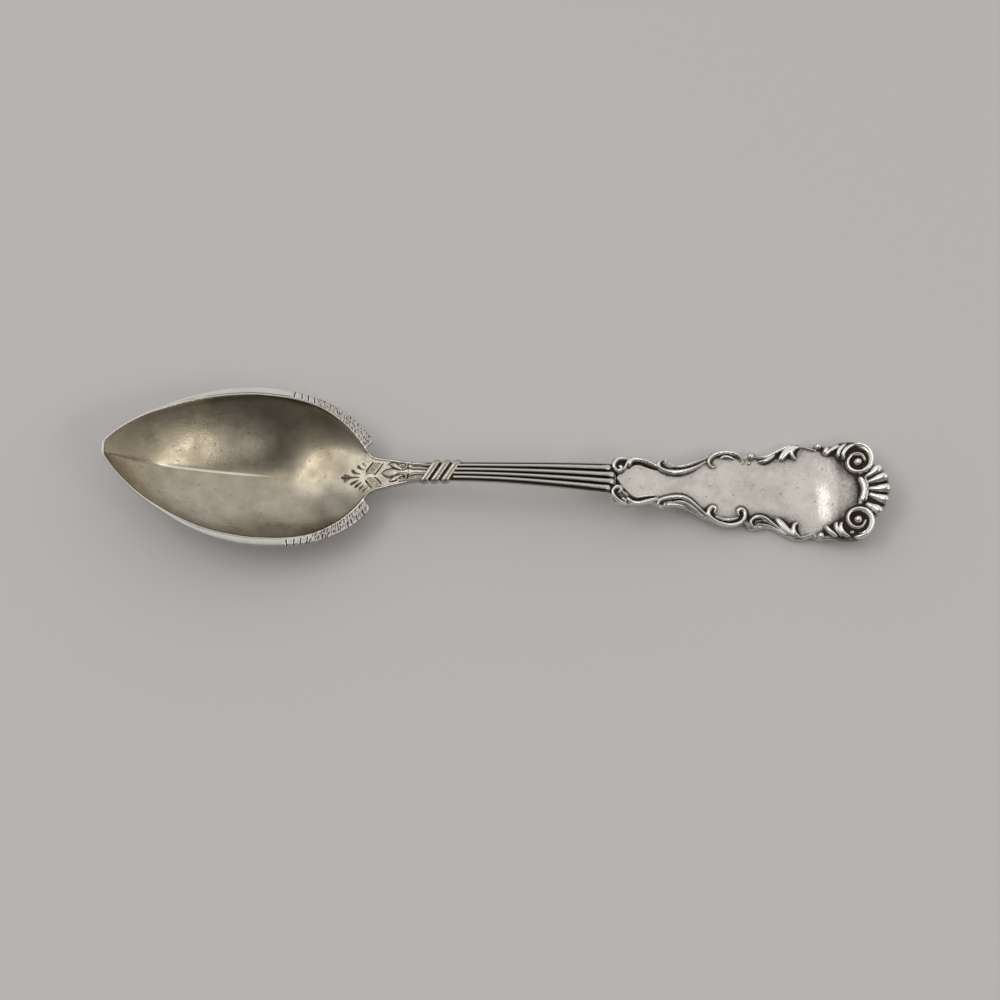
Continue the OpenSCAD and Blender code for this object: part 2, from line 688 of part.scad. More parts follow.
spray_outer_right_shares = [
  [0.516, 0.675], [0.551, 0.694], [0.577, 0.76], [0.606, 0.852], [0.634, 0.935], [0.652, 0.95]
];
spray_inner_right_shares = [[0.529, 0.591], [0.5485, 0.608], [0.569, 0.661], [0.591, 0.752]];
spray_curl_left_shares = [
  [0.524, 0.691], [0.517, 0.729], [0.505, 0.692], [0.501, 0.606], [0.515, 0.528], [0.535, 0.503],
  [0.556, 0.537], [0.578, 0.616], [0.6, 0.708], [0.62, 0.796], [0.646, 0.87]
];
spray_outer_left_shares = [[0.53, 0.65], [0.564, 0.676], [0.59, 0.741], [0.62, 0.832], [0.642, 0.862]];

module spray_right() {
  color(BRIGHT) place() {
    border(spray_outer_right_shares, ridge_width * 0.75, ridge_height, blade_shares);
    border(spray_inner_right_shares, ridge_width * 0.8, ridge_height, blade_shares);
  }
}

module spray_left() {
  color(BRIGHT) place() mirrored(-1) {
    border(spray_curl_left_shares, ridge_width * 0.75);
    border(spray_outer_left_shares, ridge_width * 0.6, ridge_height * 0.9, blade_shares);
  }
}

leaf_right_shares = [[0.61, 0.65], [0.62, 0.75], [0.639, 0.855], [0.654, 0.898], [0.67, 0.908]];
crescent_right_shares = [[0.666, 0.662], [0.654, 0.738], [0.651, 0.823], [0.663, 0.893], [0.68, 0.92]];
leaf_left_shares = [[0.597, 0.535], [0.6125, 0.625], [0.629, 0.735], [0.649, 0.825], [0.667, 0.848]];
crescent_left_shares = [[0.671, 0.595], [0.659, 0.65], [0.656, 0.735], [0.664, 0.826], [0.68, 0.89]];

module acanthus(leaf, crescent) {
  border(leaf, leaf_width, ridge_height, blade_shares);
  border(crescent, leaf_width * 0.6, ridge_height, blade_shares);
}

module acanthus_right() {
  color(BRIGHT) place() acanthus(leaf_right_shares, crescent_right_shares);
}

module acanthus_left() {
  color(BRIGHT) place() mirrored(-1) acanthus(leaf_left_shares, crescent_left_shares);
}

cove_right_shares = [[0.68, 0.92], [0.699, 0.905], [0.717, 0.868], [0.738, 0.845]];
cove_left_shares = [[0.683, 0.893], [0.704, 0.87], [0.725, 0.82]];
button_right_share = [0.745, 0.925];
button_left_share = [0.753, 0.86];

module cove(line, button) {
  border(line, ridge_width * 0.5, ridge_height * 0.6, blade_shares);
  bead(button, button_radius);
}

module cove_right() {
  color(BRIGHT) place() cove(cove_right_shares, button_right_share);
}

module cove_left() {
  color(BRIGHT) place() mirrored(-1) cove(cove_left_shares, button_left_share);
}

// Flutes, as rows from the inner end to the edge of the plate
flutes_right_shares = [
  [[0.836, 0.661], [0.834, 0.767], [0.85, 0.877], [0.874, 0.94]],
  [[0.817, 0.7], [0.815, 0.771], [0.825, 0.875], [0.843, 0.95]],
  [[0.772, 0.737], [0.786, 0.812], [0.802, 0.88], [0.818, 0.93]],
  [[0.767, 0.77], [0.771, 0.837], [0.779, 0.885]]
];
flutes_left_shares = [
  [[0.826, 0.611], [0.822, 0.715], [0.833, 0.828], [0.853, 0.9]],
  [[0.808, 0.609], [0.806, 0.69], [0.813, 0.776], [0.829, 0.88]],
  [[0.768, 0.672], [0.786, 0.788], [0.809, 0.886]]
];

module flutes(rows) {
  for (row = rows) border(row, leaf_width * 0.6, ridge_height, blade_shares, 2);
}

module flutes_right() {
  color(BRIGHT) place() flutes(flutes_right_shares);
}

module flutes_left() {
  color(BRIGHT) place() mirrored(-1) flutes(flutes_left_shares);
}

// Volutes, arc bar and shell

volute_right_share = [0.885, 0.591];
volute_left_share = [0.884, 0.553];
// Each volute from its inner end, as angles in quarter turns and distances from the bead, and the
// outer end that runs out along the edge of the plate
turn_shares = [
  [0.15, 0.38], [0.65, 0.42], [1.08, 0.46], [1.5, 0.49], [2, 0.54], [2.4, 0.57], [2.8, 0.57],
  [3.2, 0.585], [3.55, 0.625], [3.9, 0.695], [4.2, 0.77], [4.5, 0.86], [4.75, 0.93], [4.95, 0.97], [5.1, 1]
];
volute_shares = [[0, 0.5], [0.3, 0.7], [0.7, 1], [0.95, 0.85], [1, 0.5]];

module volute(centre, side) {
  c = on_plate(centre);
  turn = [
    for (p = turn_shares)
      c + volute_radius * p[1] * [cos(90 * p[0]), sin(90 * p[0])]
  ];
  color(BRIGHT) place() mirrored(side)
    ridge(smooth(turn, 3), ridge_width * 0.9, ridge_height * 1.2, volute_shares);
}

module volute_bead(centre, side) {
  color(BRIGHT) place() mirrored(side) bead(centre, volute_bead_radius);
}

arc_shares = [[0.8913, 0.269], [0.9015, 0.155], [0.906, 0.042], [0.9027, -0.083], [0.8935, -0.2]];
module arc_bar() {
  color(BRIGHT) place() border(arc_shares, arc_width, ridge_height, even_shares, 4);
}

// Lobes of the shell, from root to tip
lobe_shares = [
  [[0.917, 0.303], [0.938, 0.371], [0.957, 0.455]],
  [[0.9245, 0.185], [0.951, 0.236], [0.979, 0.285]],
  [[0.9285, 0.044], [0.9576, 0.043], [0.988, 0.052]],
  [[0.928, -0.074], [0.957, -0.138], [0.982, -0.183]],
  [[0.918, -0.267], [0.938, -0.334], [0.959, -0.405]]
];
fan_shares = [[0, 0.45], [0.3, 0.6], [0.75, 0.95], [0.92, 0.85], [1, 0.5]];

module shell() {
  color(BRIGHT) place()
    for (lobe = lobe_shares) border(lobe, lobe_width, ridge_height * 1.2, fan_shares, 4);
}

bowl();
rim();
wing(1);  // wing_right
wing(-1);  // wing_left
neck();
lotus();
neck_curls();
neck_reeds();
band(0);  // band_front
band(1);  // band_middle
band(2);  // band_back
stem();
stem_reed(0);  // reed_1
stem_reed(1);  // reed_2
stem_reed(2);  // reed_3
stem_reed(3);  // reed_4
plate();
root_scroll_right();
root_scroll_left();
side_scroll_right();
side_scroll_left();
c_scroll_right();
c_scroll_left();
bud_right();
spray_right();
spray_left();
acanthus_right();
acanthus_left();
cove_right();
cove_left();
flutes_right();
flutes_left();
volute(volute_right_share, 1);  // volute_right
volute(volute_left_share, -1);  // volute_left
volute_bead(volute_right_share, 1);  // volute_bead_right
volute_bead(volute_left_share, -1);  // volute_bead_left
arc_bar();
shell();
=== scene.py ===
# %% [markdown]
# # A grapefruit spoon
# The real spoon is one piece of silver, struck between dies, filed and then chased by hand. Its bowl
# is washed with gold, its rim ends in two feathered wings, and its handle carries a border of scrolls
# and a shell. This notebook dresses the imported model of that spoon: each region gets a fine mesh with
# the curves and the tool marks of the real one, and a finish of old silver or worn gilt.
#
# The frame comes first. It holds the model that every piece is set against.

# %% Load the frame
import math
import bpy
import numpy as np
from mathutils import Matrix, Vector


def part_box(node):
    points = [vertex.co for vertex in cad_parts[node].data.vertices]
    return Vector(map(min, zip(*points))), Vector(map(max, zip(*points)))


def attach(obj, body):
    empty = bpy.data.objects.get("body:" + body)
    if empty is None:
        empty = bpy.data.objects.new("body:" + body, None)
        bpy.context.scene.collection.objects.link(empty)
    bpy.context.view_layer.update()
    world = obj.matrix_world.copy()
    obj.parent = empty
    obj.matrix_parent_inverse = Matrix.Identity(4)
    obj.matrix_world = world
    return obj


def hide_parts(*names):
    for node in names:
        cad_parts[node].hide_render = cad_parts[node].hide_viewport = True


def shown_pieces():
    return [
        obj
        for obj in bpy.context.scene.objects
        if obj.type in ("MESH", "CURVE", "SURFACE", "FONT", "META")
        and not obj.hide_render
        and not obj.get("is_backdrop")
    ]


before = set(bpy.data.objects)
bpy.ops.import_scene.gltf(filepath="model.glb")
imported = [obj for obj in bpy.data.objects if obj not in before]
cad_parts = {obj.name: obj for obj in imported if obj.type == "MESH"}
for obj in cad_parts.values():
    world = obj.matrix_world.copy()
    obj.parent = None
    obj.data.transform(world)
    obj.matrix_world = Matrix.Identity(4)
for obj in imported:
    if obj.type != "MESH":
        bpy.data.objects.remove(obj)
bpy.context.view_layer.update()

MM = 0.001
tip_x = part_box("rim")[0].x / MM
print("the model has", len(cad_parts), "nodes and its tip is at", round(tip_x, 2), "mm")

# %% [markdown]
# ## The camera
# The photograph looks down on the spoon, a little from the side of its lower edge. A camera
# could be turned with three angles, but its three axes are easier to read: the way back from the
# object, the way up in the picture, and the way across.

# %% Place the camera
LEAN = math.radians(15)
ROLL = math.radians(-1.742)
DISTANCE = 400
SCALE = 5.4325  # pixels of the picture for a millimetre at the aim
PICTURE, SENSOR = 1000, 36
AIM = Vector((71.1425 + tip_x, -2.7084, 0))

back = Vector((0, -math.sin(LEAN), math.cos(LEAN)))
across = Vector((math.sin(ROLL), math.cos(ROLL), 0)).cross(back).normalized()
upwards = back.cross(across)
lens = bpy.data.cameras.new("camera")
lens.sensor_width = SENSOR
lens.lens = SCALE * DISTANCE * SENSOR / PICTURE
camera = bpy.data.objects.new("camera", lens)
camera.matrix_world = Matrix.Translation((AIM + back * DISTANCE) * MM) @ Matrix(
    (across, upwards, back)
).transposed().to_4x4()
bpy.context.scene.collection.objects.link(camera)
bpy.context.scene.camera = camera
print("the camera is", DISTANCE, "mm from the spoon, with a", round(lens.lens, 1), "mm lens")

# %% [markdown]
# ## The floor and the light
# Silver shows what stands round it. Two soft strips hang over the spoon, one to the right and one to the
# left, and give the highlights across the bowl and the panel. The room is paler at the back than at the
# front, so the far wall of the bowl, which faces the front, stays dark. A dark patch overhead is what the
# spoon sees of the one who looks at it. A few helpers come first, because the light of the room and the
# metals are both built from nodes.


# %% Small helpers for nodes
def feed(node, *pairs):
    """Fill a node's inputs, each with a number, a colour or what another node puts out"""
    for label, value in pairs:
        socket = node.inputs[label]
        if isinstance(value, bpy.types.NodeSocket):
            node.id_data.links.new(value, socket)
        else:
            socket.default_value = (*value, 1) if socket.type == "RGBA" else value
    return node


def sums(tree, operation, *values, clamp=False):
    """A Math node fed with sockets or plain numbers"""
    node = tree.nodes.new("ShaderNodeMath")
    node.operation, node.use_clamp = operation, clamp
    return feed(node, *enumerate(values)).outputs[0]


def blend(tree, factor, a, b):
    """Mix of two colours by a mask"""
    node = tree.nodes.new("ShaderNodeMix")
    node.data_type = "RGBA"
    return feed(node, (0, factor), (6, a), (7, b)).outputs[2]


def speckle(tree, place, scale, detail=4, rough=0.6, stretch=None, turn=0):
    """Noise on the object's own coordinates, stretched along a turned axis if asked"""
    if stretch:
        mapping = tree.nodes.new("ShaderNodeMapping")
        feed(mapping, ("Scale", stretch), ("Rotation", (0, 0, turn)), ("Vector", place))
        place = mapping.outputs["Vector"]
    noise = tree.nodes.new("ShaderNodeTexNoise")
    feed(noise, ("Scale", scale), ("Detail", detail), ("Roughness", rough), ("Vector", place))
    return noise.outputs["Fac"]


def between(tree, value, low, high, to_low=0, to_high=1):
    """Map Range with clamped ends"""
    node = tree.nodes.new("ShaderNodeMapRange")
    feed(node, ("From Min", low), ("From Max", high), ("To Min", to_low), ("To Max", to_high))
    return feed(node, ("Value", value)).outputs["Result"]


print("helpers for the room's light and for the metals")

# %% Lay the floor
bpy.ops.object.select_all(action="DESELECT")
bpy.ops.mesh.primitive_grid_add(x_subdivisions=4, y_subdivisions=4, size=4)
floor = bpy.context.object
floor.name = "floor"
floor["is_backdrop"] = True

paper = bpy.data.materials.new("pale_paper")
paper.use_nodes = True
feed(
    paper.node_tree.nodes["Principled BSDF"],
    ("Base Color", (0.62, 0.602, 0.597)), ("Roughness", 0.9), ("Specular IOR Level", 0.2),
)
floor.data.materials.append(paper)
print("the floor is 4 m wide")


# %% Hang the lamps
def lamp(name, spot, size, power):
    """A rectangular lamp at a spot in metres, turned to the middle of the spoon"""
    light = bpy.data.lights.new(name, "AREA")
    light.shape = "RECTANGLE"
    light.size, light.size_y = size
    light.energy = power
    holder = bpy.data.objects.new(name, light)
    holder.location = spot
    holder.rotation_euler = (-Vector(spot)).to_track_quat("-Z", "Y").to_euler()
    bpy.context.scene.collection.objects.link(holder)


lamp("right_strip", (0.55, -0.36, 0.76), (0.5, 0.16), 1.0)
lamp("left_strip", (-0.57, 0.15, 0.8), (0.6, 0.26), 1.3)

world = bpy.data.worlds.new("room")
world.use_nodes = True
bpy.context.scene.world = world
room = world.node_tree
place = room.nodes.new("ShaderNodeTexCoord").outputs["Generated"]
parts = feed(room.nodes.new("ShaderNodeSeparateXYZ"), ("Vector", place))
pale_back = between(room, parts.outputs["Y"], -0.8, 0.2, 0.15, 0.82)
toward = room.nodes.new("ShaderNodeVectorMath")
toward.operation = "DOT_PRODUCT"
feed(toward, (0, place), (1, Vector((0.1, -0.36, 0.93)).normalized()))
patch = between(room, toward.outputs["Value"], 0.88, 0.985, 1, 0.55)
level = sums(room, "MULTIPLY", pale_back, patch)
feed(room.nodes["Background"], ("Color", (1, 0.985, 0.965)), ("Strength", level))
bpy.context.scene.view_settings.view_transform = "Standard"
print("the stage is set")

# %% [markdown]
# ## The lines of the spoon
# A silversmith would cut brass templates for the outline, the profile and the sections. Here each
# template is a short table of places, and one function draws a smooth curve through it. The tables
# say the same as the model's own, so a piece that they shape lies where the solid lies.


# %% Curves through tables
def curve(table, x):
    """Smooth curve through rows of place and value, flat beyond both ends"""
    places, values = np.array(table, float).T
    x = np.asarray(x, float)
    ends = np.r_[0, np.arange(len(places)), len(places) - 1]
    slopes = (values[ends[2:]] - values[ends[:-2]]) / (places[ends[2:]] - places[ends[:-2]])
    i = np.clip(np.searchsorted(places, x, side="right") - 1, 0, len(places) - 2)
    h = places[i + 1] - places[i]
    s = np.clip((x - places[i]) / h, 0, 1)
    return (
        values[i] * (1 + 2 * s) * (1 - s) ** 2
        + values[i + 1] * s * s * (3 - 2 * s)
        + h * s * (1 - s) * (slopes[i] * (1 - s) - slopes[i + 1] * s)
    )


def ramp(x, start, length):
    """Rise from 0 to 1 over a length from the start, downwards where the length is below zero"""
    return np.clip((x - start) / length, 0, 1)


def hill(x, middle, reach):
    """A soft hill of height 1 round a middle"""
    return np.exp(-(((x - middle) / reach) ** 2))


def smooth(points, n):
    """Smooth line through a few points, with n steps between two of them"""
    p = np.array(points, float)
    p = np.vstack([p[:1], p, p[-1:]])
    s = (np.arange(n) / n)[:, None]
    parts = [
        (2 * b + (c - a) * s + (2 * a - 5 * b + 4 * c - d) * s**2 + (3 * b - a - 3 * c + d) * s**3) / 2
        for a, b, c, d in zip(p, p[1:], p[2:], p[3:])
    ]
    return np.vstack(parts + [p[-1:]])


print("a quarter of the way along, a curve through 0, 1 and 0 is at", curve([(0, 0), (1, 1), (2, 0)], 0.5))

# %% Sizes, in millimetres
bowl_length, bowl_width, bowl_depth = 47.5, 29.7, 7.4
floor_thickness, wall_thickness = 1.1, 0.9
tip_lift, heel_drop, tip_shift = 6.3, 3.3, 0.85
rim_width, rim_thickness, tip_band, hook_length = 1.6, 0.8, 0.45, 1.0
neck_length, stem_thickness, edge_bevel = 9.5, 2.3, 0.3
binding_length, band_width, band_height, band_lean = 6.5, 1.85, 0.55, 1.9
stem_length, front_half, back_half, arch_height = 28.3, 1.8, 2.85, 9.4
handle_length, handle_half, plate_thickness, end_lift, wear = 50.5, 9.5, 1.3, 4.2, 0.3

half_width = bowl_width / 2
rim_height = bowl_depth + floor_thickness
heel_height = rim_height - heel_drop
heel_x = bowl_length - hook_length
binding_x = bowl_length + neck_length
stem_x = binding_x + binding_length
handle_x = stem_x + stem_length
print("the spoon is", round(handle_x + handle_length, 1), "mm long, its bowl", bowl_length, "mm")

# %% Templates of the bowl, as shares of its length
OUTLINE = [
    (0, 0.069), (0.006, 0.11), (0.019, 0.158), (0.048, 0.264), (0.0975, 0.409), (0.147, 0.529),
    (0.1975, 0.627), (0.299, 0.797), (0.401, 0.9165), (0.504, 0.985), (0.585, 1), (0.7105, 0.967),
    (0.814, 0.8875), (0.877, 0.793), (0.918, 0.711), (0.96, 0.605), (0.99, 0.495), (1, 0.452),
]
RIM = [
    (0, 0.4), (0.04, 0.3), (0.098, 0.3), (0.197, 0.42), (0.298, 0.64), (0.403, 0.83), (0.504, 0.97),
    (0.607, 0.98), (0.7105, 0.95), (0.782, 1.04), (0.824, 1.22), (0.877, 1.45), (0.919, 1.76),
    (0.95, 2.1), (0.97, 2.36), (1, 2.5),
]
LIFT = [(0, 1), (0.1, 0.73), (0.2, 0.52), (0.4, 0.22)]
DROP = [(0.6, 0), (0.714, 0.27), (0.816, 0.52), (0.918, 0.81), (0.98, 1), (1, 1.05)]
DEPTH = [
    (0, 0.06), (0.02, 0.16), (0.1, 0.47), (0.204, 0.71), (0.306, 0.83), (0.408, 0.915), (0.51, 0.975),
    (0.592, 1), (0.694, 0.9), (0.776, 0.7), (0.857, 0.46), (0.918, 0.24), (0.96, 0.11), (0.98, 0.05),
    (1, 0.04),
]
FLOOR = [(0, 0), (0.7, 0), (0.86, 0.4), (0.98, 1), (1, 1)]
CREASE = [(0, 1.15), (0.4, 1.22), (0.55, 1.5), (0.7, 2.1), (0.8, 2.4), (1, 2.4)]
RIM_LINE = [(p, rim_height + tip_lift * q) for p, q in LIFT] + [
    (p, rim_height - heel_drop * q) for p, q in DROP
]
print(len(OUTLINE), "places in the bowl's outline and", len(DEPTH), "in its keel")


# %% Lines of the bowl
def soft(table, x, reach=0.05):
    """The curve of a table as a mean over a short reach, so that no point of it shows in a reflection"""
    x = np.asarray(x, float)
    room_left = ramp(np.minimum(x, 1 - x), 0, reach)
    steps = np.linspace(-1.5, 1.5, 13)
    weights = np.exp(-steps**2)
    return sum(w * curve(table, x + reach * room_left * d) for d, w in zip(steps, weights)) / weights.sum()


def outline(x):
    return half_width * curve(OUTLINE, x / bowl_length)


def inner(x):
    return outline(x) - rim_width * curve(RIM, x / bowl_length)


def rim_z(x):
    return soft(RIM_LINE, x / bowl_length)


def shift(x):
    return tip_shift * np.maximum(0, 1 - x / (0.42 * bowl_length)) ** 1.5


def keel_z(x):
    return rim_z(x) - bowl_depth * soft(DEPTH, x / bowl_length)


def under_z(x):
    thick = stem_thickness - floor_thickness - wear
    return keel_z(x) - floor_thickness - wear - thick * curve(FLOOR, x / bowl_length)


def sag(x, t):
    return (1 - np.abs(t) ** soft(CREASE, x / bowl_length)) ** 0.8


def wall(x):
    tip = wall_thickness * np.minimum(1, 0.45 + 2 * inner(x) / half_width)
    return np.minimum(tip, 0.92 * (outline(x) - inner(x)))


print("the bowl is", round(rim_height, 1), "mm high at its widest")

# %% [markdown]
# ## Closed forms from a rolled grid
# A sheet of silver is rolled and its seam closed. A piece of the spoon is made the same way: a grid is
# added, its rows are laid on the sections of the form, the seam is merged, and the open ends are
# filled. The same helper serves the bowl, the rim, the stem and the bands.


# %% Lay a grid
def grid(name, n, m):
    """A new grid with n rows of m points, alone in the selection, and its row and column numbers"""
    bpy.ops.object.select_all(action="DESELECT")
    bpy.ops.mesh.primitive_grid_add(x_subdivisions=m - 1, y_subdivisions=n - 1, size=1)
    piece = bpy.context.object
    piece.name = piece.data.name = name
    flat = np.zeros(len(piece.data.vertices) * 3)
    piece.data.vertices.foreach_get("co", flat)
    flat = flat.reshape(-1, 3) + 0.5
    return piece, np.rint(flat[:, 1] * (n - 1)).astype(int), np.rint(flat[:, 0] * (m - 1)).astype(int)


def settle(piece, points):
    """Put a mesh's points, given in millimetres from the tip, at their place in the frame"""
    placed = (points + np.array([tip_x, 0, 0])) * MM
    piece.data.vertices.foreach_set("co", placed.ravel())
    piece.data.update()


def mark(piece, name, values):
    """Keep one number for each point of a mesh, for its material to read"""
    layer = piece.data.attributes.new(name, "FLOAT", "POINT")
    layer.data.foreach_set("value", np.clip(values, 0, 1).astype(np.float32))


print("a grid's points are set in millimetres from the tip, which is at", round(tip_x, 2))


# %% Roll a grid
def on_top(rings, values):
    """Numbers for a form's points: the given ones on its upper side, the first of a ring, and 0 below"""
    numbers = np.zeros(rings.shape[:2])
    numbers[:, : values.shape[1]] = values
    return numbers


def face_out(angle):
    """Turn all faces outwards and smooth the edges that are blunter than an angle in degrees"""
    bpy.ops.object.mode_set(mode="EDIT")
    bpy.ops.mesh.select_all(action="SELECT")
    bpy.ops.mesh.normals_make_consistent(inside=False)
    bpy.ops.object.mode_set(mode="OBJECT")
    bpy.ops.object.shade_smooth_by_angle(angle=math.radians(angle))


def rolled(name, rings, looped=False, **paint):
    """Closed form through rings of points; a looped form joins its last ring to its first"""
    n, m = rings.shape[0] + looped, rings.shape[1] + 1
    piece, row, column = grid(name, n, m)
    row, column = row % rings.shape[0], column % rings.shape[1]
    settle(piece, rings[row, column])
    for label, values in paint.items():
        mark(piece, label, values[row, column])
    bpy.ops.object.mode_set(mode="EDIT")
    bpy.ops.mesh.select_all(action="SELECT")
    bpy.ops.mesh.remove_doubles(threshold=1e-7)
    if not looped:
        bpy.ops.mesh.select_all(action="DESELECT")
        bpy.ops.mesh.select_mode(type="EDGE")
        bpy.ops.mesh.select_non_manifold(extend=False, use_wire=False, use_multi_face=False,
                                         use_non_contiguous=False, use_verts=False)
        bpy.ops.mesh.fill_holes(sides=0)
    face_out(50)
    return piece


print("helpers for closed forms")


# %% [markdown]
# ## Relief
# The ornament is drawn as strokes: a line of the plan with a width and a height along it. A stroke can
# stand up, as a scroll does, or be cut in, as a chased line is. The height of the metal at a point is
# that of the highest stroke there, less the deepest cut, so ridges meet in sharp crevices.


# %% Strokes
FULL = [(0, 1), (1, 1)]


def stroke(line, width, height, shares=FULL, power=0.75):
    """A ridge or, with a height below zero, a cut along a line of the plan"""
    line = np.array(line, float).reshape(-1, 2)
    place = np.linspace(0, 1, len(line)) if len(line) > 1 else np.array([0.5])
    k = curve(shares, place)
    return line, width * k, height * np.minimum(1, k), power


def mirrored(strokes):
    return [(line * np.array([1, -1]), width, height, power) for line, width, height, power in strokes]


def raised(strokes, x, y):
    """Height of the strokes at points of the plan"""
    up, down = np.zeros(x.shape), np.zeros(x.shape)
    for line, width, height, power in strokes:
        reach = width.max()
        near = np.nonzero(
            (x > line[:, 0].min() - reach) & (x < line[:, 0].max() + reach)
            & (y > line[:, 1].min() - reach) & (y < line[:, 1].max() + reach)
        )
        if not near[0].size:
            continue
        q = np.c_[x[near], y[near]]
        best = np.zeros(len(q))
        if len(line) == 1:
            line, width, height = line.repeat(2, 0), width.repeat(2), height.repeat(2)
        for a, b, wa, wb, ha, hb in zip(line, line[1:], width, width[1:], height, height[1:]):
            d = b - a
            s = np.clip((q - a) @ d / max(d @ d, 1e-9), 0, 1)
            far = np.linalg.norm(q - a - s[:, None] * d, axis=1) / np.maximum((wa + (wb - wa) * s) / 2, 1e-6)
            best = np.maximum(best, np.abs(ha + (hb - ha) * s) * np.maximum(0, 1 - far**2) ** power)
        if height.sum() > 0:
            up[near] = np.maximum(up[near], best)
        else:
            down[near] = np.maximum(down[near], best)
    return up - down


trial = raised([stroke([(0, 0), (2, 0)], 1, 0.4)], np.array([1.0, 1.0]), np.array([0, 0.25]))
print("a ridge 1 mm wide and 0.4 mm high stands", trial.round(2), "mm high on its line and beside it")


# %% Hollows between the strokes
def blurred(values, reach):
    """Values of a grid, averaged over some rows and columns"""
    k = np.exp(-(np.arange(-3 * reach, 3 * reach + 1) / reach) ** 2 / 2)
    k /= k.sum()
    for axis in (0, 1):
        pad = [(0, 0), (0, 0)]
        pad[axis] = (3 * reach, 3 * reach)
        wide = np.pad(values, pad, mode="edge")
        size = values.shape[axis]
        values = sum(w * np.take(wide, np.arange(i, i + size), axis=axis) for i, w in enumerate(k))
    return values


def hollow(height, reach, full):
    """How far each point of a grid lies below what is round it, as 0 to 1"""
    return np.clip((blurred(height, reach) - height) / full, 0, 1)


flat_with_pit = np.zeros((9, 9))
flat_with_pit[4, 4] = -0.1
print("a pit one point wide and 0.1 mm deep counts as", hollow(flat_with_pit, 2, 0.1).max().round(2))

# %% [markdown]
# ## The chasing on the bowl's heel and the neck
# Where the bowl turns into the neck the chaser cut a palmette of tapering dashes, two chevrons with a
# stippled band between them, and a lotus with two curls. These strokes are shared by the bowl and the
# neck, so that a dash can run from the one onto the other.

# %% Chased strokes
FULL_DASH = [(0, 0.6), (0.12, 1), (0.45, 0.8), (1, 0.3)]
LINE = [(0, 0.7), (0.3, 1), (1, 0.8)]
REED = [(0, 0.3), (0.1, 0.85), (0.3, 1), (1, 1)]

dashes = [
    stroke(smooth(line, 4), 0.75 * width, -0.85 * depth, FULL_DASH) for width, depth, line in (
        (0.62, 0.3, [(42.1, -0.35), (42.85, -0.55), (43.55, -0.52), (44.1, -0.48), (45.3, -0.44)]),
        (0.42, 0.2, [(42.5, 0.05), (43.25, -0.15), (43.95, -0.4)]),
        (0.46, 0.2, [(42.6, -1.1), (43.0, -0.93), (43.55, -0.68)]),
        (0.66, 0.28, [(44.1, 0.83), (44.35, 0.5), (44.8, 0.3), (45.45, 0.15)]),
        (0.6, 0.26, [(45.1, 1.65), (45.3, 1.32), (45.7, 1.09), (46.2, 0.85)]),
        (0.34, 0.14, [(46.0, 2.05), (46.2, 1.8), (46.65, 1.6)]),
        (0.3, 0.1, [(46.8, 2.4), (47.0, 2.3)]),
        (0.6, 0.28, [(43.85, -1.72), (44.3, -1.51), (44.8, -1.24), (45.2, -0.99)]),
        (0.56, 0.26, [(44.65, -2.3), (45.05, -2.02), (45.45, -1.67), (45.75, -1.4)]),
        (0.48, 0.24, [(45.5, -2.67), (45.85, -2.38), (46.2, -1.95)]),
        (0.42, 0.22, [(46.15, -3.17), (46.5, -2.85), (47.05, -2.35)]),
    )
]
print(len(dashes), "dashes in the palmette")


# %% Sizes and templates of the neck and stem
TOP_LINE = (
    [(heel_x + (binding_x - heel_x) * p, heel_height + (arch_height - heel_height) * q)
     for p, q in [(0, 0), (0.2, 0.09), (0.57, 0.4), (1, 0.68)]]
    + [(binding_x + (handle_x - binding_x) * p, heel_height + (arch_height - heel_height) * q)
       for p, q in [(0.19, 0.93), (0.4, 1)]]
    + [(binding_x + (handle_x - binding_x) * p, arch_height - (arch_height - plate_thickness) * q)
       for p, q in [(0.62, 0.035), (0.85, 0.135)]]
    + [(handle_x + handle_length * p, arch_height - (arch_height - plate_thickness) * q)
       for p, q in [(0.02, 0.265), (0.18, 0.5), (0.34, 0.73), (0.48, 0.9), (0.6, 1)]]
    + [(handle_x + handle_length * p, plate_thickness + end_lift * q)
       for p, q in [(0.7, 0.12), (0.82, 0.45), (0.92, 0.76), (1, 1)]]
)
NECK = [
    (0, 1), (0.055, 0.67), (0.11, 0.55), (0.205, 0.425), (0.3, 0.365), (0.5, 0.24), (0.69, 0.125),
    (0.87, 0.03), (1, 0),
]
STEM = [(0, 0), (0.19, 0), (0.4, 0.12), (0.65, 0.45), (1, 1)]
heel_half = inner(heel_x) + wall(heel_x)


def top_z(x):
    return curve(TOP_LINE, x)


def bar_half(x):
    x = np.asarray(x, float)
    neck = front_half + (heel_half - front_half) * curve(NECK, (x - heel_x) / (binding_x - heel_x))
    stem = front_half + (back_half - front_half) * curve(STEM, (x - binding_x) / (handle_x - binding_x))
    return np.where(x < binding_x, neck, stem)


def dish(x):
    deep = bowl_depth * curve(DEPTH, heel_x / bowl_length)
    return deep * np.maximum(0, 1 - 2 * (x - heel_x) / (binding_x - heel_x))


print("behind the bands the stem is", round(2 * float(bar_half(stem_x)), 2), "mm wide")

# %% [markdown]
# ## The bowl
# The hollow is shaped like a boat: a keel crease runs from the tip and fades into a round floor. It
# could be a stretched sphere, but no sphere has a crease. Instead each ring of the rolled grid is one
# cross section, inside and outside, so the wall has its real thickness.

# %% Shape the bowl
x = np.concatenate([
    tip_band + (40 - tip_band) * (np.linspace(0, 1, 150) ** 1.25),
    np.linspace(40, heel_x, 60)[1:],
])[:, None]
even = np.linspace(-1, 1, 181)
t_in = (0.5 * even + 0.5 * np.sin(math.pi / 2 * even))[None, :]
t_out = np.cos(np.linspace(0, math.pi, 49))[None, :]
w, v, top, seat = inner(x), inner(x) + wall(x), rim_z(x), rim_z(x) - rim_thickness

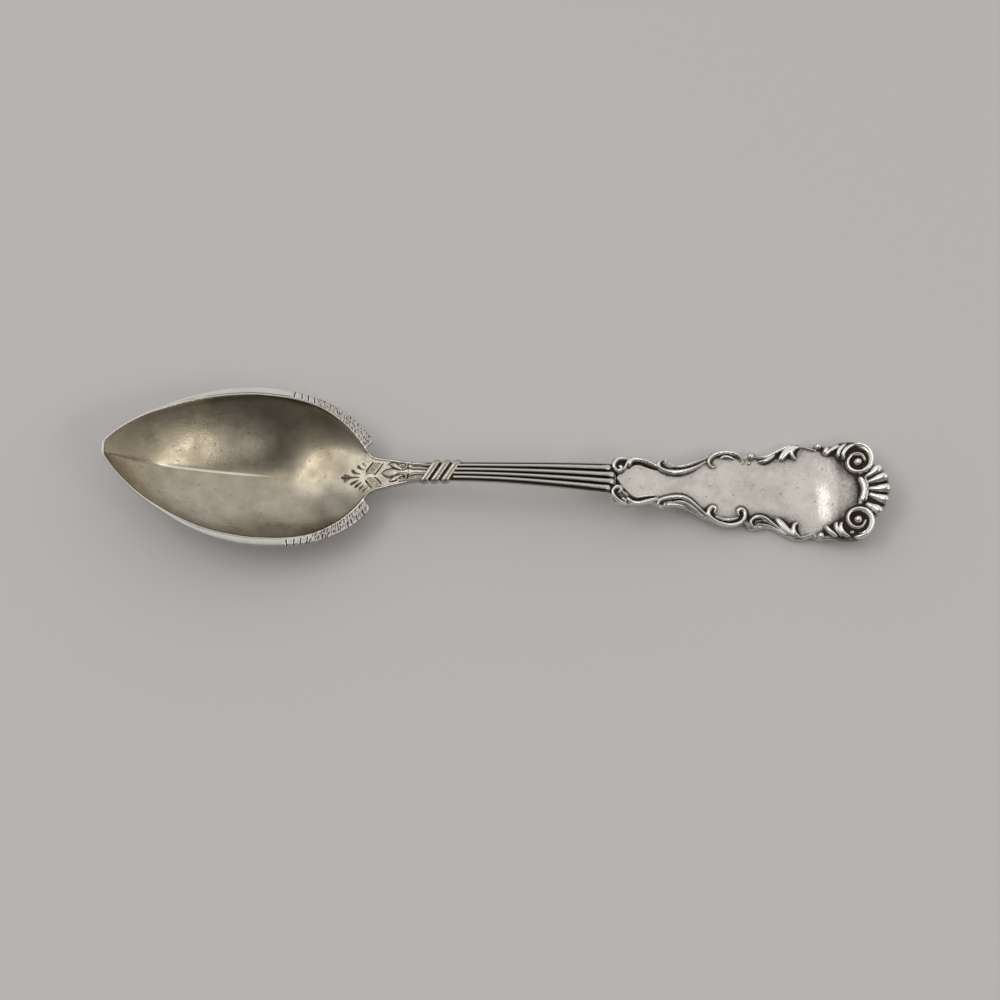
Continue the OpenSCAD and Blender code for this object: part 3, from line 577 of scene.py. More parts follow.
inside_y = w * t_in + shift(x) * np.abs(t_in)
inside_z = top - (top - keel_z(x)) * sag(x, t_in)
engraved = raised(dashes, x + 0 * inside_y, inside_y)
keel_line = 0.05 * hill(inside_y, 0, 0.4) * ramp(x, 8, 4) * ramp(x, 32, -10)
outside_y = v * t_out + shift(x) * np.abs(t_out)
outside_z = np.maximum(0, seat - (seat - under_z(x)) * sag(x, t_out))
bowl_y = np.hstack([inside_y, shift(x) + w, outside_y, shift(x) - w])
bowl_z = np.hstack([inside_z + engraved + keel_line, seat, outside_z, seat])
print("the hollow is", round(float((top - inside_z).max()), 1), "mm deep")

# %% Colour and roll the bowl
# The finish, with painted shade and light: each mask starts and fades at a place along the bowl,
# in mm, or at a share across it.
near_tip = hill(t_in, 0.03, 0.09) * ramp(x, 13, -8)
cut_in = np.maximum(0.75 * ramp(-engraved, 0, 0.2) ** 1.6, 0.5 * near_tip)
# Painted shadow under the far rim, where the wall is undercut
far_rim_shadow = ramp(t_in, 0.9, 0.08) * ramp(x, 15, 4) * ramp(x, 39, -4)
# A painted dark reflection on the far half of the hollow: darker by the shade mask, greyer by the tint
painted_dark_reflection = ramp(x, 16.5, 6) * ramp(x, 38, -6) * ramp(t_in, 0.02, 0.12)
# Painted shade that dims the highlight at the heel, with a mottle like stains
heel_shade_and_stain = ramp(x, 34, 5) * (0.85 + 0.15 * np.sin(0.9 * x + 1.1 * inside_y))
shade = np.maximum(0.72 * far_rim_shadow, 0.5 * painted_dark_reflection * (1 - 0.6 * np.clip(t_in, 0, 1) ** 2))
# Painted light on the near wall, which faces the light
painted_light_low_wall = ramp(t_in, 0, -0.1) * ramp(x, 3, 6) * (0.5 - 0.5 * np.minimum(0, t_in))
# The tint turns the gilt to silver at the heel, and carries the painted light and the painted dark
# reflection
tint = np.ones(bowl_y.shape)
tint[:, : t_in.size] = ramp(x, 38, 9) ** 1.5 + 0.3 * painted_dark_reflection + painted_light_low_wall
# A painted highlight along the keel crease
painted_keel_highlight = 0.95 * hill(inside_y, 0.08, 0.36) * ramp(x, 7, 3) * ramp(x, 38, -14)
bowl = rolled(
    "bowl_shell", np.stack([x + 0 * bowl_y, bowl_y, bowl_z], axis=2), cavity=on_top(bowl_y, cut_in),
    shade=on_top(bowl_y, np.maximum(shade, 0.56 * heel_shade_and_stain)), tint=tint, crest=on_top(bowl_y, painted_keel_highlight),
)
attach(bowl, "root")
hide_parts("bowl")
print("the bowl has", len(bowl.data.polygons), "faces")

# %% [markdown]
# ## The rim and the wings
# The rim is a flat band round the tip with edges that use has rounded. At each shoulder it widens into
# a wing, which was cut with four spaced strokes and then with short close ones in two or three rows,
# and which ends in a small hook. A smooth lip is left along both its edges. Rim and wings are swept
# along the outline with the same cross section.

# %% Section of the rim
ROUND = 0.14


def edge_fall(d, r):
    """Fall of a surface near an edge of radius r, at distance d from it"""
    return r - np.sqrt(np.maximum(0, r * r - np.maximum(0, r - d) ** 2))


def band_rings(outer, inside, across_top, fall):
    """Rings of a flat band between an outer and an inner line, with rounded edges"""
    u = across_top[None, :]
    width = np.linalg.norm(outer[:, :2] - inside[:, :2], axis=1)[:, None]
    r = np.minimum(ROUND, width * 0.3)
    mid = inside[:, None, :] * (1 - u[..., None]) + outer[:, None, :] * u[..., None]
    topside = mid.copy()
    topside[..., 2] -= edge_fall(u * width, r) + edge_fall((1 - u) * width, r) - fall
    topside[..., 2] += 0.05 * width * (1 - (2 * u - 1) ** 2)
    low = mid[:, ::-1].copy()
    low[..., 2] -= rim_thickness - edge_fall((1 - u[:, ::-1]) * width, np.minimum(0.25, width * 0.4))
    return np.concatenate([topside, low], axis=1)


def line_at(x, y_of, side):
    """Line on the rim's surface, from places along the bowl"""
    y = shift(x) + side * y_of
    return np.c_[x, y, rim_z(x)]


print("the rim's edges are worn round by", ROUND, "mm")

# %% Shape the rim
s = 0.68 * (np.linspace(1, 0, 170)) ** 1.6
PAIR = [(0, 0.01), (0.03, 0.035), (0.1, 0.106), (0.3, 0.305), (0.68, 0.68)]
edge_x = bowl_length * s
pair_x = np.maximum(tip_band, bowl_length * curve(PAIR, s))
outer_lines = [line_at(edge_x, outline(edge_x), side) for side in (1, -1)]
inner_lines = [line_at(pair_x, np.minimum(inner(pair_x), outline(edge_x)), side) for side in (1, -1)]
nose = np.linspace(1, -1, 17)[1:-1]
nose_half, nose_hollow = outline(0.0), inner(0.475)
nose_outer = line_at(0 * nose, nose * nose_half, 1)
nose_inner = line_at(0 * nose + tip_band, nose * min(nose_hollow, nose_half), 1)
rim_outer = np.vstack([outer_lines[0], nose_outer, outer_lines[1][::-1]])
rim_inner = np.vstack([inner_lines[0], nose_inner, inner_lines[1][::-1]])
RIM_U = np.concatenate([np.linspace(0, 0.4, 15), np.linspace(0.4, 0.7, 4)[1:-1], np.linspace(0.7, 1, 9)])
rim_wide = np.linalg.norm(rim_outer[:, :2] - rim_inner[:, :2], axis=1)[:, None]
fine_line = hill(RIM_U * rim_wide, 0.34, 0.08) * ramp(rim_wide, 0.7, 0.4)
rings = band_rings(rim_outer, rim_inner, RIM_U, -0.05 * fine_line)
rim = rolled("rim_band", rings, cavity=on_top(rings, 0.3 * fine_line))
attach(rim, "root")
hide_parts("rim")
print("the rim has", len(rim.data.polygons), "faces")

# %% Shape the wings
SLANT = [(0.68, 0.68), (0.7, 0.71), (0.76, 0.775), (0.86, 0.868), (0.94, 0.925), (1, 0.966)]
HOOK = [
    (1, 0.441, 0.966), (0.85, 0.405, 0.97), (0.4, 0.375, 0.973), (0.025, 0.342, 0.9795),
]
FEATHER_PITCH = 0.42
SPACED_CUTS, CLOSE_CUTS = (0.694, 0.72, 0.744, 0.768), 0.782  # shares of the bowl's length
CUT_REACH, LIP_IN, SCALLOP = 0.1, 0.26, 1.9
hands = np.random.default_rng(7)


def wing(side, name, bases, longer):
    """One wing, from the plain rim to the end of its hook, with a row of cuts from each base"""
    s = np.linspace(0.68, 1, 300)
    outer_x = bowl_length * s
    outer = np.c_[outer_x, outline(outer_x)]
    inside_x = bowl_length * curve(SLANT, s)
    inside = np.c_[inside_x, inner(inside_x)]
    hook = np.array([
        (heel_x + hook_length * a, half_width * b, min(heel_x, bowl_length * c)) for a, b, c in HOOK
    ])
    hook = np.vstack([[outer_x[-1], outer[-1, 1], inside_x[-1]], hook])
    hook = smooth(hook, 12)[1:]
    outer = np.vstack([outer, hook[:, :2]])
    inside = np.vstack([inside, np.c_[hook[:, 2], inner(hook[:, 2])]])
    outer = np.c_[outer, rim_z(outer[:, 0])]
    inside = np.c_[inside, rim_z(inside[:, 0])]
    u = np.concatenate([np.linspace(0, 0.15, 9), np.linspace(0.15, 0.88, 36)[1:-1], np.linspace(0.88, 1, 8)])
    u_grid = u[None, :]
    run = np.r_[0, np.cumsum(np.linalg.norm(np.diff(outer[:, :2], axis=0), axis=1))][:, None]
    width = np.linalg.norm(outer[:, :2] - inside[:, :2], axis=1)[:, None]
    cut = np.zeros((len(run), len(u)))
    for place in SPACED_CUTS:
        middle = np.interp(bowl_length * place, outer_x, run[: len(outer_x), 0])
        d = run + 0.55 * (1 - u_grid) - 0.2 - middle
        cut += 0.15 * hill(d, 0, CUT_REACH) * ramp(u_grid, 0.12, 0.25)
    start = np.interp(bowl_length * CLOSE_CUTS, outer_x, run[: len(outer_x), 0])
    stop = run[len(outer_x) - 1, 0] - 0.1
    middle = start
    while middle < stop:
        for base in bases:
            deep, lean = hands.uniform(0.06, 0.15), hands.uniform(-0.4, 0.4)
            low, high = base + hands.uniform(-0.05, 0.1), base + hands.uniform(0.2, 0.38) * longer
            d = run + lean * (u_grid - base) - middle - hands.uniform(-0.14, 0.14)
            stroke_ends = ramp(u_grid, low, 0.06) * ramp(u_grid, high, -0.08)
            cut = np.maximum(cut, deep * hill(d, 0, CUT_REACH) * stroke_ends)
        middle += FEATHER_PITCH * hands.uniform(0.75, 1.25)
    inner_edge, outer_edge = u_grid * width, (1 - u_grid) * width
    wave = 0.8 + 0.2 * np.sin(2 * math.pi * (run - start) / SCALLOP)
    over_hook = ramp(run, stop - 0.2, 0.5)
    lip = 0.16 * wave * hill(inner_edge, LIP_IN, 0.16) * ramp(run, start - 0.6, 1.2)
    lip += (0.05 + 0.15 * over_hook) * hill(outer_edge, LIP_IN, 0.15)
    cut = cut * ramp(inner_edge, 0.27, 0.3) * ramp(run, stop + 0.5, -0.4)
    rings = band_rings(outer, inside, u, lip - cut)
    rings[..., 1] *= side
    grey = ramp(run, start - 0.8, 1.5) + np.zeros(rings.shape[:2])
    # The cuts take oxide; the lip takes a painted highlight through its crest mask
    piece = rolled(
        name, rings, cavity=on_top(rings, np.clip(cut / 0.11, 0, 0.85)),
        crest=on_top(rings, ramp(lip, 0, 0.11)), tint=grey,
    )
    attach(piece, "root")
    return piece


wing_right = wing(1, "feathered_wing_right", (0.08, 0.4, 0.7), 1)
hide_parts("wing_right")
wing_left = wing(-1, "feathered_wing_left", (0.05, 0.5), 1.5)
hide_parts("wing_left")
print("the wings have", len(wing_right.data.polygons), "faces each")

# %% [markdown]
# ## The neck
# The neck narrows out of the bowl and carries the lotus. Its top is a fine part of the ring, where the
# strokes lift or cut the surface, and its underside is plain and round. Each dash could be cut with a
# boolean, but so many small cuts leave a ragged mesh. Moving the points of one fine surface keeps it
# whole, and the same strokes then tell where the oxide lies.

# %% Draw the lotus
PETAL = [(0, 0.08), (0.2, 0.78), (0.42, 1), (0.6, 0.5), (0.76, 0.3), (1, 0.3)]
SIDE_PETAL = [(0, 0.25), (0.3, 1), (0.55, 0.75), (0.8, 0.4), (1, 0.3)]


def contour(points, width=0.2, depth=0.16):
    """A fine dark cut that draws the edge of a petal or a chevron"""
    return stroke(smooth(points, 4), width, -depth, LINE)


petals = [
    stroke(smooth(line, 6), width, 0.24, shares, 0.5) for width, shares, line in (
        (1.5, PETAL, [(49.5, 0.15), (50.7, 0.06), (52.1, 0.06), (53.2, 0.18), (54.3, 0.2)]),
        (0.85, SIDE_PETAL, [(50.7, 1.6), (51.5, 1.5), (52.4, 1.0), (53.3, 0.52), (54.2, 0.3)]),
        (0.85, SIDE_PETAL, [(50.95, -1.6), (51.6, -1.27), (52.5, -0.88), (53.4, -0.42), (54.2, -0.1)]),
    )
]
curls = [
    stroke(smooth(line, 5), 0.42, 0.36, REED) for line in (
        [(52.55, 1.4), (52.8, 1.72), (53.3, 1.85), (53.9, 1.6), (54.1, 1.15), (53.9, 0.72), (53.45, 0.55)],
        [(52.6, -0.6), (53, -0.38), (53.6, -0.4), (54.05, -0.8), (53.95, -1.3), (53.5, -1.55), (53, -1.6)],
    )
]
CURL_EYES = [(53.15, 1.15), (53.45, 1.12)], [(52.9, -1.05), (53.5, -0.92)]
curls += [stroke(line, 0.5, -0.16) for line in CURL_EYES]
petal_edges = [
    contour(line) for line in (
        [(49.5, 0.2), (50.4, 0.72), (51.5, 0.78), (52.3, 0.46)],
        [(49.5, 0.1), (50.0, -0.42), (50.75, -0.86), (51.45, -0.7), (52.3, -0.24)],
        [(50.6, 1.58), (51.2, 1.95), (51.9, 1.98), (52.4, 1.65)],
        [(50.75, 1.6), (51.5, 0.98), (52.4, 0.56), (53.4, 0.32)],
        [(50.95, -1.66), (51.75, -1.66), (52.4, -1.47)],
        [(51.0, -1.0), (51.7, -0.72), (52.4, -0.46), (53.4, -0.26)],
    )
]
print(len(petals), "petals,", len(curls), "strokes in the curls and", len(petal_edges), "cut edges")

# %% Draw the chevrons, the reeds and the stipple
chevrons = [
    contour(line, width, depth) for width, depth, line in (
        (0.18, 0.1, [(54.5, 0.45), (54.25, 1.0), (54.35, 1.6)]),
        (0.18, 0.1, [(54.4, -0.2), (54.3, -0.9), (54.1, -1.5)]),
        (0.3, 0.2, [(46.15, -0.15), (46.55, 0.44), (47.0, 1.14), (47.8, 2.15)]),
        (0.3, 0.2, [(45.75, -0.44), (46.35, -0.94), (47.0, -1.69), (47.75, -2.6)]),
        (0.28, 0.18, [(48.15, -0.1), (48.55, 0.37), (49.0, 0.91), (49.6, 1.8)]),
        (0.28, 0.18, [(48.2, -0.55), (48.75, -1.03), (49.1, -1.42), (49.45, -1.95)]),
        (0.14, 0.05, [(46.55, -0.15), (46.95, 0.4), (47.45, 1.1), (48.2, 2.05)]),
        (0.14, 0.05, [(46.4, -0.6), (46.9, -1.15), (47.5, -1.8), (48.2, -2.5)]),
    )
]
NECK_REED = [(0, 0.35), (0.12, 0.9), (0.3, 1), (0.6, 0.95), (0.8, 0.55), (1, 0.5)]
neck_reeds = [
    stroke(smooth(line, 6), 0.62, 0.4, NECK_REED) for line in (
        [(54.6, 1.5), (56.2, 1.4), (57.7, 1.22), (60, 1.2)],
        [(54.6, 0.75), (56.2, 0.62), (57.7, 0.5), (60, 0.4)],
        [(54.5, -0.75), (55.3, -0.42), (56.3, -0.4), (57.7, -0.42), (60, -0.4)],
        [(53.8, -1.62), (55, -1.36), (56.4, -1.22), (57.7, -1.2), (60, -1.2)],
    )
]
dots = np.random.default_rng(3)
stipple = []
for index in range(110):
    along, over = dots.uniform(0.15, 0.97), dots.uniform(0.12, 0.88)
    arm = np.array((1.6, 2.4) if index % 2 else (1.55, -2.2))
    spot = np.array([46.3, -0.3]) + along * arm + over * np.array([1.75, 0])
    stipple.append(stroke([spot], dots.uniform(0.18, 0.28), -dots.uniform(0.05, 0.11)))
edge_x = np.linspace(heel_x + 0.1, binding_x + 2, 30)
edge_y = bar_half(edge_x) - edge_bevel - 0.08
neck_edges = [stroke(np.c_[edge_x, side * edge_y], 0.36, 0.14, FULL, 1) for side in (1, -1)]
neck_strokes = dashes + chevrons + stipple + petals + curls + petal_edges + neck_reeds + neck_edges
print(len(neck_strokes), "strokes on the neck")


# %% Section of the neck and the stem
def bar_rings(x, strokes, top_points, under_points=33):
    """Rings of the bar: a flat top with bevelled edges over a round underside, and its hollows"""
    x = np.asarray(x, float)[:, None]
    w, top = bar_half(x), top_z(x)
    t = np.linspace(-1, 1, top_points)[None, :]
    y = (w - edge_bevel) * t
    relief = raised(strokes, x + 0 * y, y) if len(strokes) else 0 * y
    a = np.linspace(0, math.pi, under_points)[None, :]
    under_y = w * np.cos(a)
    under = top - edge_bevel - (stem_thickness - edge_bevel) * np.sin(a) ** 0.8
    z = np.hstack([top - dish(x) * (1 - t * t) + relief, under])
    y = np.hstack([y, under_y])
    return np.stack([x + 0 * y, y, z], axis=2), on_top(y, hollow(relief, 4, 0.14))


print("the stem is", stem_thickness, "mm thick and its upper edges are bevelled by", edge_bevel, "mm")

# %% Shape the neck
NECK_TOP, EDGE = 121, 5  # points across the top, and those of an edge with a painted highlight
neck_x = heel_x + (binding_x - heel_x) * np.linspace(0, 1, 190) ** 1.05
rings, dark = bar_rings(neck_x, neck_strokes, NECK_TOP)
edge = np.zeros(dark.shape)
edge[:, :EDGE] = edge[:, NECK_TOP - EDGE: NECK_TOP] = 0.85
# Painted shade near the bowl dims a highlight there; the bevelled edges take a painted highlight
neck = rolled(
    "chased_neck", rings, cavity=dark, tint=1 - 0.75 * ramp(rings[..., 0], 53, -7),
    shade=0.2 * ramp(rings[..., 0], 49.5, -3), crest=edge,
)
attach(neck, "root")
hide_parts("neck", "lotus", "neck_curls", "neck_reeds")
print("the neck has", len(neck.data.polygons), "faces")

# %% Shape the stem
STEM_TOP = 61
rings, dark = bar_rings(np.linspace(binding_x, handle_x, 120), neck_reeds, STEM_TOP)
# Oxide and painted shade on the stem's top between the reeds
between_reeds = ramp(rings[..., 0] - 0.64 * rings[..., 1], 58.3, 0.3)[:, :STEM_TOP]
stem = rolled("stem_bar", rings, cavity=np.maximum(dark, on_top(rings, between_reeds)))
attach(stem, "root")
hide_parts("stem")
print("the stem has", len(stem.data.polygons), "faces")

# %% [markdown]
# ## The reeds and the bands
# Four round reeds were filed along the stem, each with a bulb where it meets the handle, and three
# slanting bands seem to tie them together. The reeds could be bevelled curves, but a reed is a half
# round that sits on the stem and swells at its end, so each is rolled from its own sections. A band
# could be a bent ring, but it follows the stem's flat top and round belly, so it is swept along them.

# %% Run the reeds
UNDER_BAND, REED_WIDTH = 0.9, 0.9
REED_END = [(0, 0.3), (0.12, 0.75), (0.3, 1.02), (0.6, 1.1), (1, 1.08), (1.8, 1)]


def reed(index, name, node):
    """One reed of the stem, with a bulb at the handle"""
    end = handle_x - (0.025 * stem_length if index in (0, 3) else 0)
    pitch_end = float(bar_half(end) - edge_bevel) / 2
    bulb = 1.8 * pitch_end
    x = np.concatenate([
        np.linspace(stem_x - UNDER_BAND, end - bulb, 70)[:-1],
        end - bulb * (1 - np.sin(np.linspace(0, math.pi / 2, 22))),
    ])[:, None]
    pitch = (bar_half(x) - edge_bevel) / 2
    swell = curve(REED_END, (end - x) / pitch_end)
    width = pitch * REED_WIDTH * swell
    a = np.linspace(0, math.pi, 25)[None, :]
    y = pitch * (index - 1.5) - width / 2 * np.cos(a)
    z = top_z(x) + 0.45 * width * np.sin(a) ** 0.9
    y = np.hstack([y, pitch * (index - 1.5) + 0 * x])
    z = np.hstack([z, top_z(x) - 0.15])
    # Oxide and painted shade on the flanks and underside, so that only the reeds' tops stay bright
    flank = ramp(np.abs(np.cos(a)), 0.34, 0.4) * np.clip((end - x) / 1.2, 0.25, 1)
    piece = rolled(name, np.stack([x + 0 * y, y, z], axis=2), cavity=np.hstack([flank, 0 * x + 1]))
    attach(piece, "root")
    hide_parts(node)


for index in range(4):
    reed(index, f"reed_bar_{index + 1}", f"reed_{index + 1}")
print("four reeds")

# %% Bind the stem
ACROSS = np.linspace(-0.5, 0.5, 17)
BAND_GAP, MORE_LEAN = 0.35, 0.2
bulge = 0.8 * band_height * (1 - (2 * ACROSS) ** 2) ** 0.42 - 0.04
share = 2 * np.abs(ACROSS)
seam = ramp(share, 0.93, 0.07) + 0.2 * (share < 0.5)


def bar_section(x):
    """Points round the bar at one place, for a band to lie on"""
    return bar_rings([x], (), 25, 49)[0][0]


for node, place in (("band_front", 0.21), ("band_middle", 0.5), ("band_back", 0.79)):
    middle = binding_x + binding_length * place
    lean = bar_section(middle)[:, 1] / front_half
    rings = []
    for j, x in enumerate(middle + lean * (band_lean / 2 + MORE_LEAN)):
        ring = bar_section(x)
        d = ring[(j + 1) % len(ring)] - ring[j - 1]
        out = np.array([0, -d[2], d[1]]) / np.hypot(d[1], d[2])
        rings.append(ring[j] + np.outer(ACROSS, (band_width - BAND_GAP, 0, 0)) + np.outer(bulge, out))
    rings = np.array(rings)[::-1]
    piece = rolled(node + "_wrap", rings, looped=True, cavity=np.tile(seam, (len(rings), 1)))
    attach(piece, "root")
    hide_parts(node)
print("three bands")

# %% [markdown]
# ## The handle
# The handle was struck in one blow: panel, border and shell are one surface. It is made as a relief,
# a fine grid that is cut along the outline and lifted by the strokes of the border. The same sheet is
# then extruded down to the underside, so that the plate is closed. Each scroll could be a bar laid on
# the plate, but a struck handle has no seams, and laid bars would show one along every scroll.

# %% Outline of the plate
PLATE_RIGHT = [
    (4, 60), (2, 120), (-6, 145), (-14, 200), (-15.5, 275), (-12, 360), (0, 420), (14, 440), (34, 452),
    (74, 465), (110, 444), (140, 400), (150, 412), (159, 462), (175, 494), (198, 461), (218, 415),
    (245, 416), (278, 486), (311, 575), (337, 642), (364, 718), (400, 763), (430, 769), (457, 736),
    (474, 695), (487, 741), (502, 783), (521, 767), (547, 742), (576, 788), (607, 884), (637, 966),
    (663, 987), (693, 954), (714, 925), (728, 964), (745, 1000), (760, 958), (775, 932), (796, 938),
    (818, 983), (845, 1000), (870, 999), (894, 979), (914, 925), (928, 851), (937.5, 737), (940, 624),
    (940, 545), (959, 535), (970, 477), (976, 395), (991, 291), (992, 185), (998, 108), (1000, 50),
]
PLATE_LEFT = [
    (4, 80), (1, 140), (-6, 170), (-14, 240), (-16.5, 330), (-12, 410), (-1, 468), (12, 488), (28, 496),
    (61, 490), (97, 468), (130, 425), (154, 460), (172, 500), (195, 450), (221, 431), (254, 450),
    (280, 507), (310, 581), (343, 645), (376, 710), (409, 748), (442, 729), (466, 680), (479, 645),
    (490, 720), (505, 775), (525, 755), (548, 722), (574, 735), (597, 790), (623, 860), (650, 920),
    (680, 945), (702, 925), (722, 885), (738, 925), (757, 950), (777, 930), (800, 945), (830, 975),
    (860, 985), (885, 967), (905, 920), (920, 875), (932, 790), (941, 690), (943, 590), (940, 515),
    (954, 490), (966, 430), (972, 360), (981, 280), (991, 183), (991, 90), (997, 10), (1000, -50),
]
THIN = [(0, 1), (0.08, 0.35), (0.16, 0), (1, 0)]


def on_plate(shares):
    """Points of the plan from thousandths of the handle's length and half width"""
    p = np.array(shares, float).reshape(-1, 2) / 1000
    return np.c_[handle_x + handle_length * p[:, 0], handle_half * p[:, 1]]


def plate_thick(x):
    extra = stem_thickness - plate_thickness - wear
    return plate_thickness + wear + extra * curve(THIN, (x - handle_x) / handle_length)


print(len(PLATE_RIGHT) + len(PLATE_LEFT), "places in the outline of the plate")

# %% Kinds of stroke in the border
RIDGE, TALL, LEAF, BUTTON, FINE = 1.08, 0.72, 1.65, 0.64, 0.36
SCROLL = [(0, 0.55), (0.3, 0.8), (0.6, 1), (0.9, 0.6), (1, 0.3)]
BLADE = [(0, 0.35), (0.15, 0.8), (0.5, 1), (0.85, 0.75), (1, 0.3)]
EVEN = [(0, 0.5), (0.1, 0.9), (0.5, 1), (0.9, 0.9), (1, 0.5)]
FAN = [(0, 0.45), (0.3, 0.6), (0.75, 0.95), (0.92, 0.85), (1, 0.5)]
VOLUTE = [(0, 0.5), (0.3, 0.7), (0.7, 1), (0.95, 0.85), (1, 0.5)]
VOLUTE_RADIUS, SECOND_TURN = 3.4, 0.62
TURN = [
    (0.15, 0.38), (0.65, 0.42), (1.08, 0.46), (1.5, 0.49), (2, 0.54), (2.4, 0.57), (2.8, 0.57), (3.2, 0.585),
    (3.55, 0.625), (3.9, 0.695), (4.2, 0.77), (4.5, 0.86), (4.75, 0.93), (4.95, 0.97), (5.1, 1),
]


def bar(shares, width, height, profile):
    """A bar of the border through places of the plate"""
    return stroke(smooth(on_plate(shares), 6), width, height, profile)


def ridge(shares, wide=1, tall=1, profile=SCROLL):
    return bar(shares, RIDGE * wide, TALL * tall, profile)


def blade(shares, wide, tall=1):
    return ridge(shares, wide, tall, BLADE)


def leaf(shares, wide=0.6):
    return bar(shares, LEAF * wide, TALL, BLADE)


def bead(share, radius, height=None):
    return stroke(on_plate(share), 2 * radius, height or radius, FULL, 0.5)


def groove(shares, width=0.7, depth=0.3):
    """A recess that sets the panel off from its border"""
    return stroke(smooth(on_plate(shares), 6), width, -depth, EVEN, 1)


def volute(share):
    """A volute about its bead, with a fine second line inside its outer turn"""
    middle = on_plate(share)
    turns = np.array([(r * math.cos(math.pi / 2 * q), r * math.sin(math.pi / 2 * q)) for q, r in TURN])
    line = smooth(middle + VOLUTE_RADIUS * turns, 6)
    second = smooth(middle + (VOLUTE_RADIUS - SECOND_TURN) * turns[7:-1], 6)
    return [
        stroke(line, RIDGE, TALL * 1.2, VOLUTE), bead(share, 0.75, 0.8),
        stroke(second, FINE, TALL * 0.8, EVEN), stroke(middle, VOLUTE_RADIUS, -0.2, FULL, 1),
    ]


print("a volute turns", round((TURN[-1][0] - TURN[0][0]) / 4, 2), "times about its bead")

# %% Right side of the border
right = [
    ridge([
        (44, 428), (27.5, 407), (12.7, 392), (-0.4, 322), (-4.4, 239), (4.6, 160), (19, 166), (23.2, 229),
        (13.9, 251),
    ], 0.8, 1, EVEN),
    blade([(59, 429), (50.1, 392), (41.2, 297), (32.3, 175)], 0.6, 0.8),
    ridge([(51.9, 275), (57.6, 360), (66.7, 409), (94.1, 416), (124.2, 378), (160, 300)], 0.85, 1, EVEN),
    groove([(47.9, 219), (61, 298), (84.2, 341), (117.6, 301), (158, 251)], 0.55, 0.24),
    ridge([
        (193, 468), (175, 469), (160, 393), (164.5, 289), (188, 239), (221, 233), (251, 266), (277, 321),
        (305, 402), (333, 502),
    ]),
    blade([(214, 351), (241, 365), (269, 415), (298, 488), (333, 577)], 0.7, 0.8),
    bead((185, 402), RIDGE * 0.36),
    ridge([
        (371, 428), (356, 406), (345, 469), (346, 554), (361, 642), (383, 701), (412.5, 735), (442.5, 715),
        (462, 654), (471, 568), (467, 515),
    ], 0.85),
    blade([(384, 578), (399, 638), (423, 637), (441, 594)], 0.6, 0.7),
    bead((502, 695), BUTTON),
    bead((494, 550), BUTTON * 0.6),
    blade([(516, 675), (551, 694), (577, 760), (606, 852), (634, 935), (652, 950)], 0.75),
    blade([(529, 591), (548.5, 608), (569, 661), (591, 752)], 0.8),
    leaf([(610, 650), (620, 750), (639, 855), (654, 898), (670, 908)], 1),
    leaf([(666, 662), (654, 738), (651, 823), (663, 893), (680, 920)]),
    blade([(680, 920), (699, 905), (717, 868), (738, 845)], 0.5, 0.6),
    bead((745, 925), BUTTON),
    leaf([(836, 661), (834, 767), (850, 877), (874, 940)]),
    leaf([(817, 700), (815, 771), (825, 875), (843, 950)]),
    leaf([(772, 737), (786, 812), (802, 880), (818, 930)]),
    leaf([(767, 770), (771, 837), (779, 885)]),
]
print(len(right), "strokes on the right side")

# %% Left side of the border
left = [
    ridge([
        (14.7, 260), (25.5, 216), (19.4, 159), (3.6, 163), (-7.7, 240), (-3.2, 337), (11.9, 416),
        (31.9, 478), (50.1, 491),
    ], 0.75, 1, EVEN),
    blade([(30.1, 240), (50.3, 312)], 0.6, 0.8),
    blade([(28.3, 366), (43.4, 440)], 0.6, 0.8),
    ridge([(46.3, 366), (63.2, 439), (89.7, 448), (119.4, 393), (157, 320)], 0.85, 1, EVEN),
    groove([(9.3, 106), (32.7, 212), (56.2, 326), (79.4, 364), (105.9, 337), (145.7, 280)], 0.65, 0.3),
    ridge([
        (164, 508), (157, 438), (167, 339), (193, 282), (222, 249), (252, 252), (278, 313), (304.5, 420),
        (331, 532), (346, 609),
    ], 0.9),
    blade([(216, 362), (234, 341), (258, 355), (285, 434), (311, 541), (339, 643)], 0.7, 0.8),
    blade([(176, 490), (184, 430), (181, 385)], 0.5, 0.7),
    ridge([
        (367, 483), (370, 410), (358, 386), (346, 454), (345, 543), (359, 628), (385.5, 696), (423, 722),
        (456, 675), (473, 596), (479, 501), (476, 413), (463, 383), (453, 427), (456, 497),
    ], 0.85, 1, EVEN),
    blade([(372, 569), (397, 611), (430, 600), (456, 549)], 0.6, 0.7),
    ridge([
        (524, 691), (517, 729), (505, 692), (501, 606), (515, 528), (535, 503), (556, 537), (578, 616),
        (600, 708), (620, 796), (646, 870),
    ], 0.75),
    blade([(530, 650), (564, 676), (590, 741), (620, 832), (642, 862)], 0.6, 0.9),
    bar([(518.5, 613), (540.5, 576), (562.5, 607), (581.8, 671)], FINE, TALL * 0.6, BLADE),
    leaf([(597, 535), (612.5, 625), (629, 735), (649, 825), (667, 848)], 1),
    leaf([(671, 595), (659, 650), (656, 735), (664, 826), (680, 890)]),
    blade([(683, 893), (704, 870), (725, 820)], 0.5, 0.6),
    bead((753, 860), BUTTON),
    bead((862, 810), 0.3),
    leaf([(826, 611), (822, 715), (833, 828), (853, 900)]),
    leaf([(808, 609), (806, 690), (813, 776), (829, 880)]),
    leaf([(768, 672), (786, 788), (809, 886)]),
]
print(len(left), "strokes on the left side")

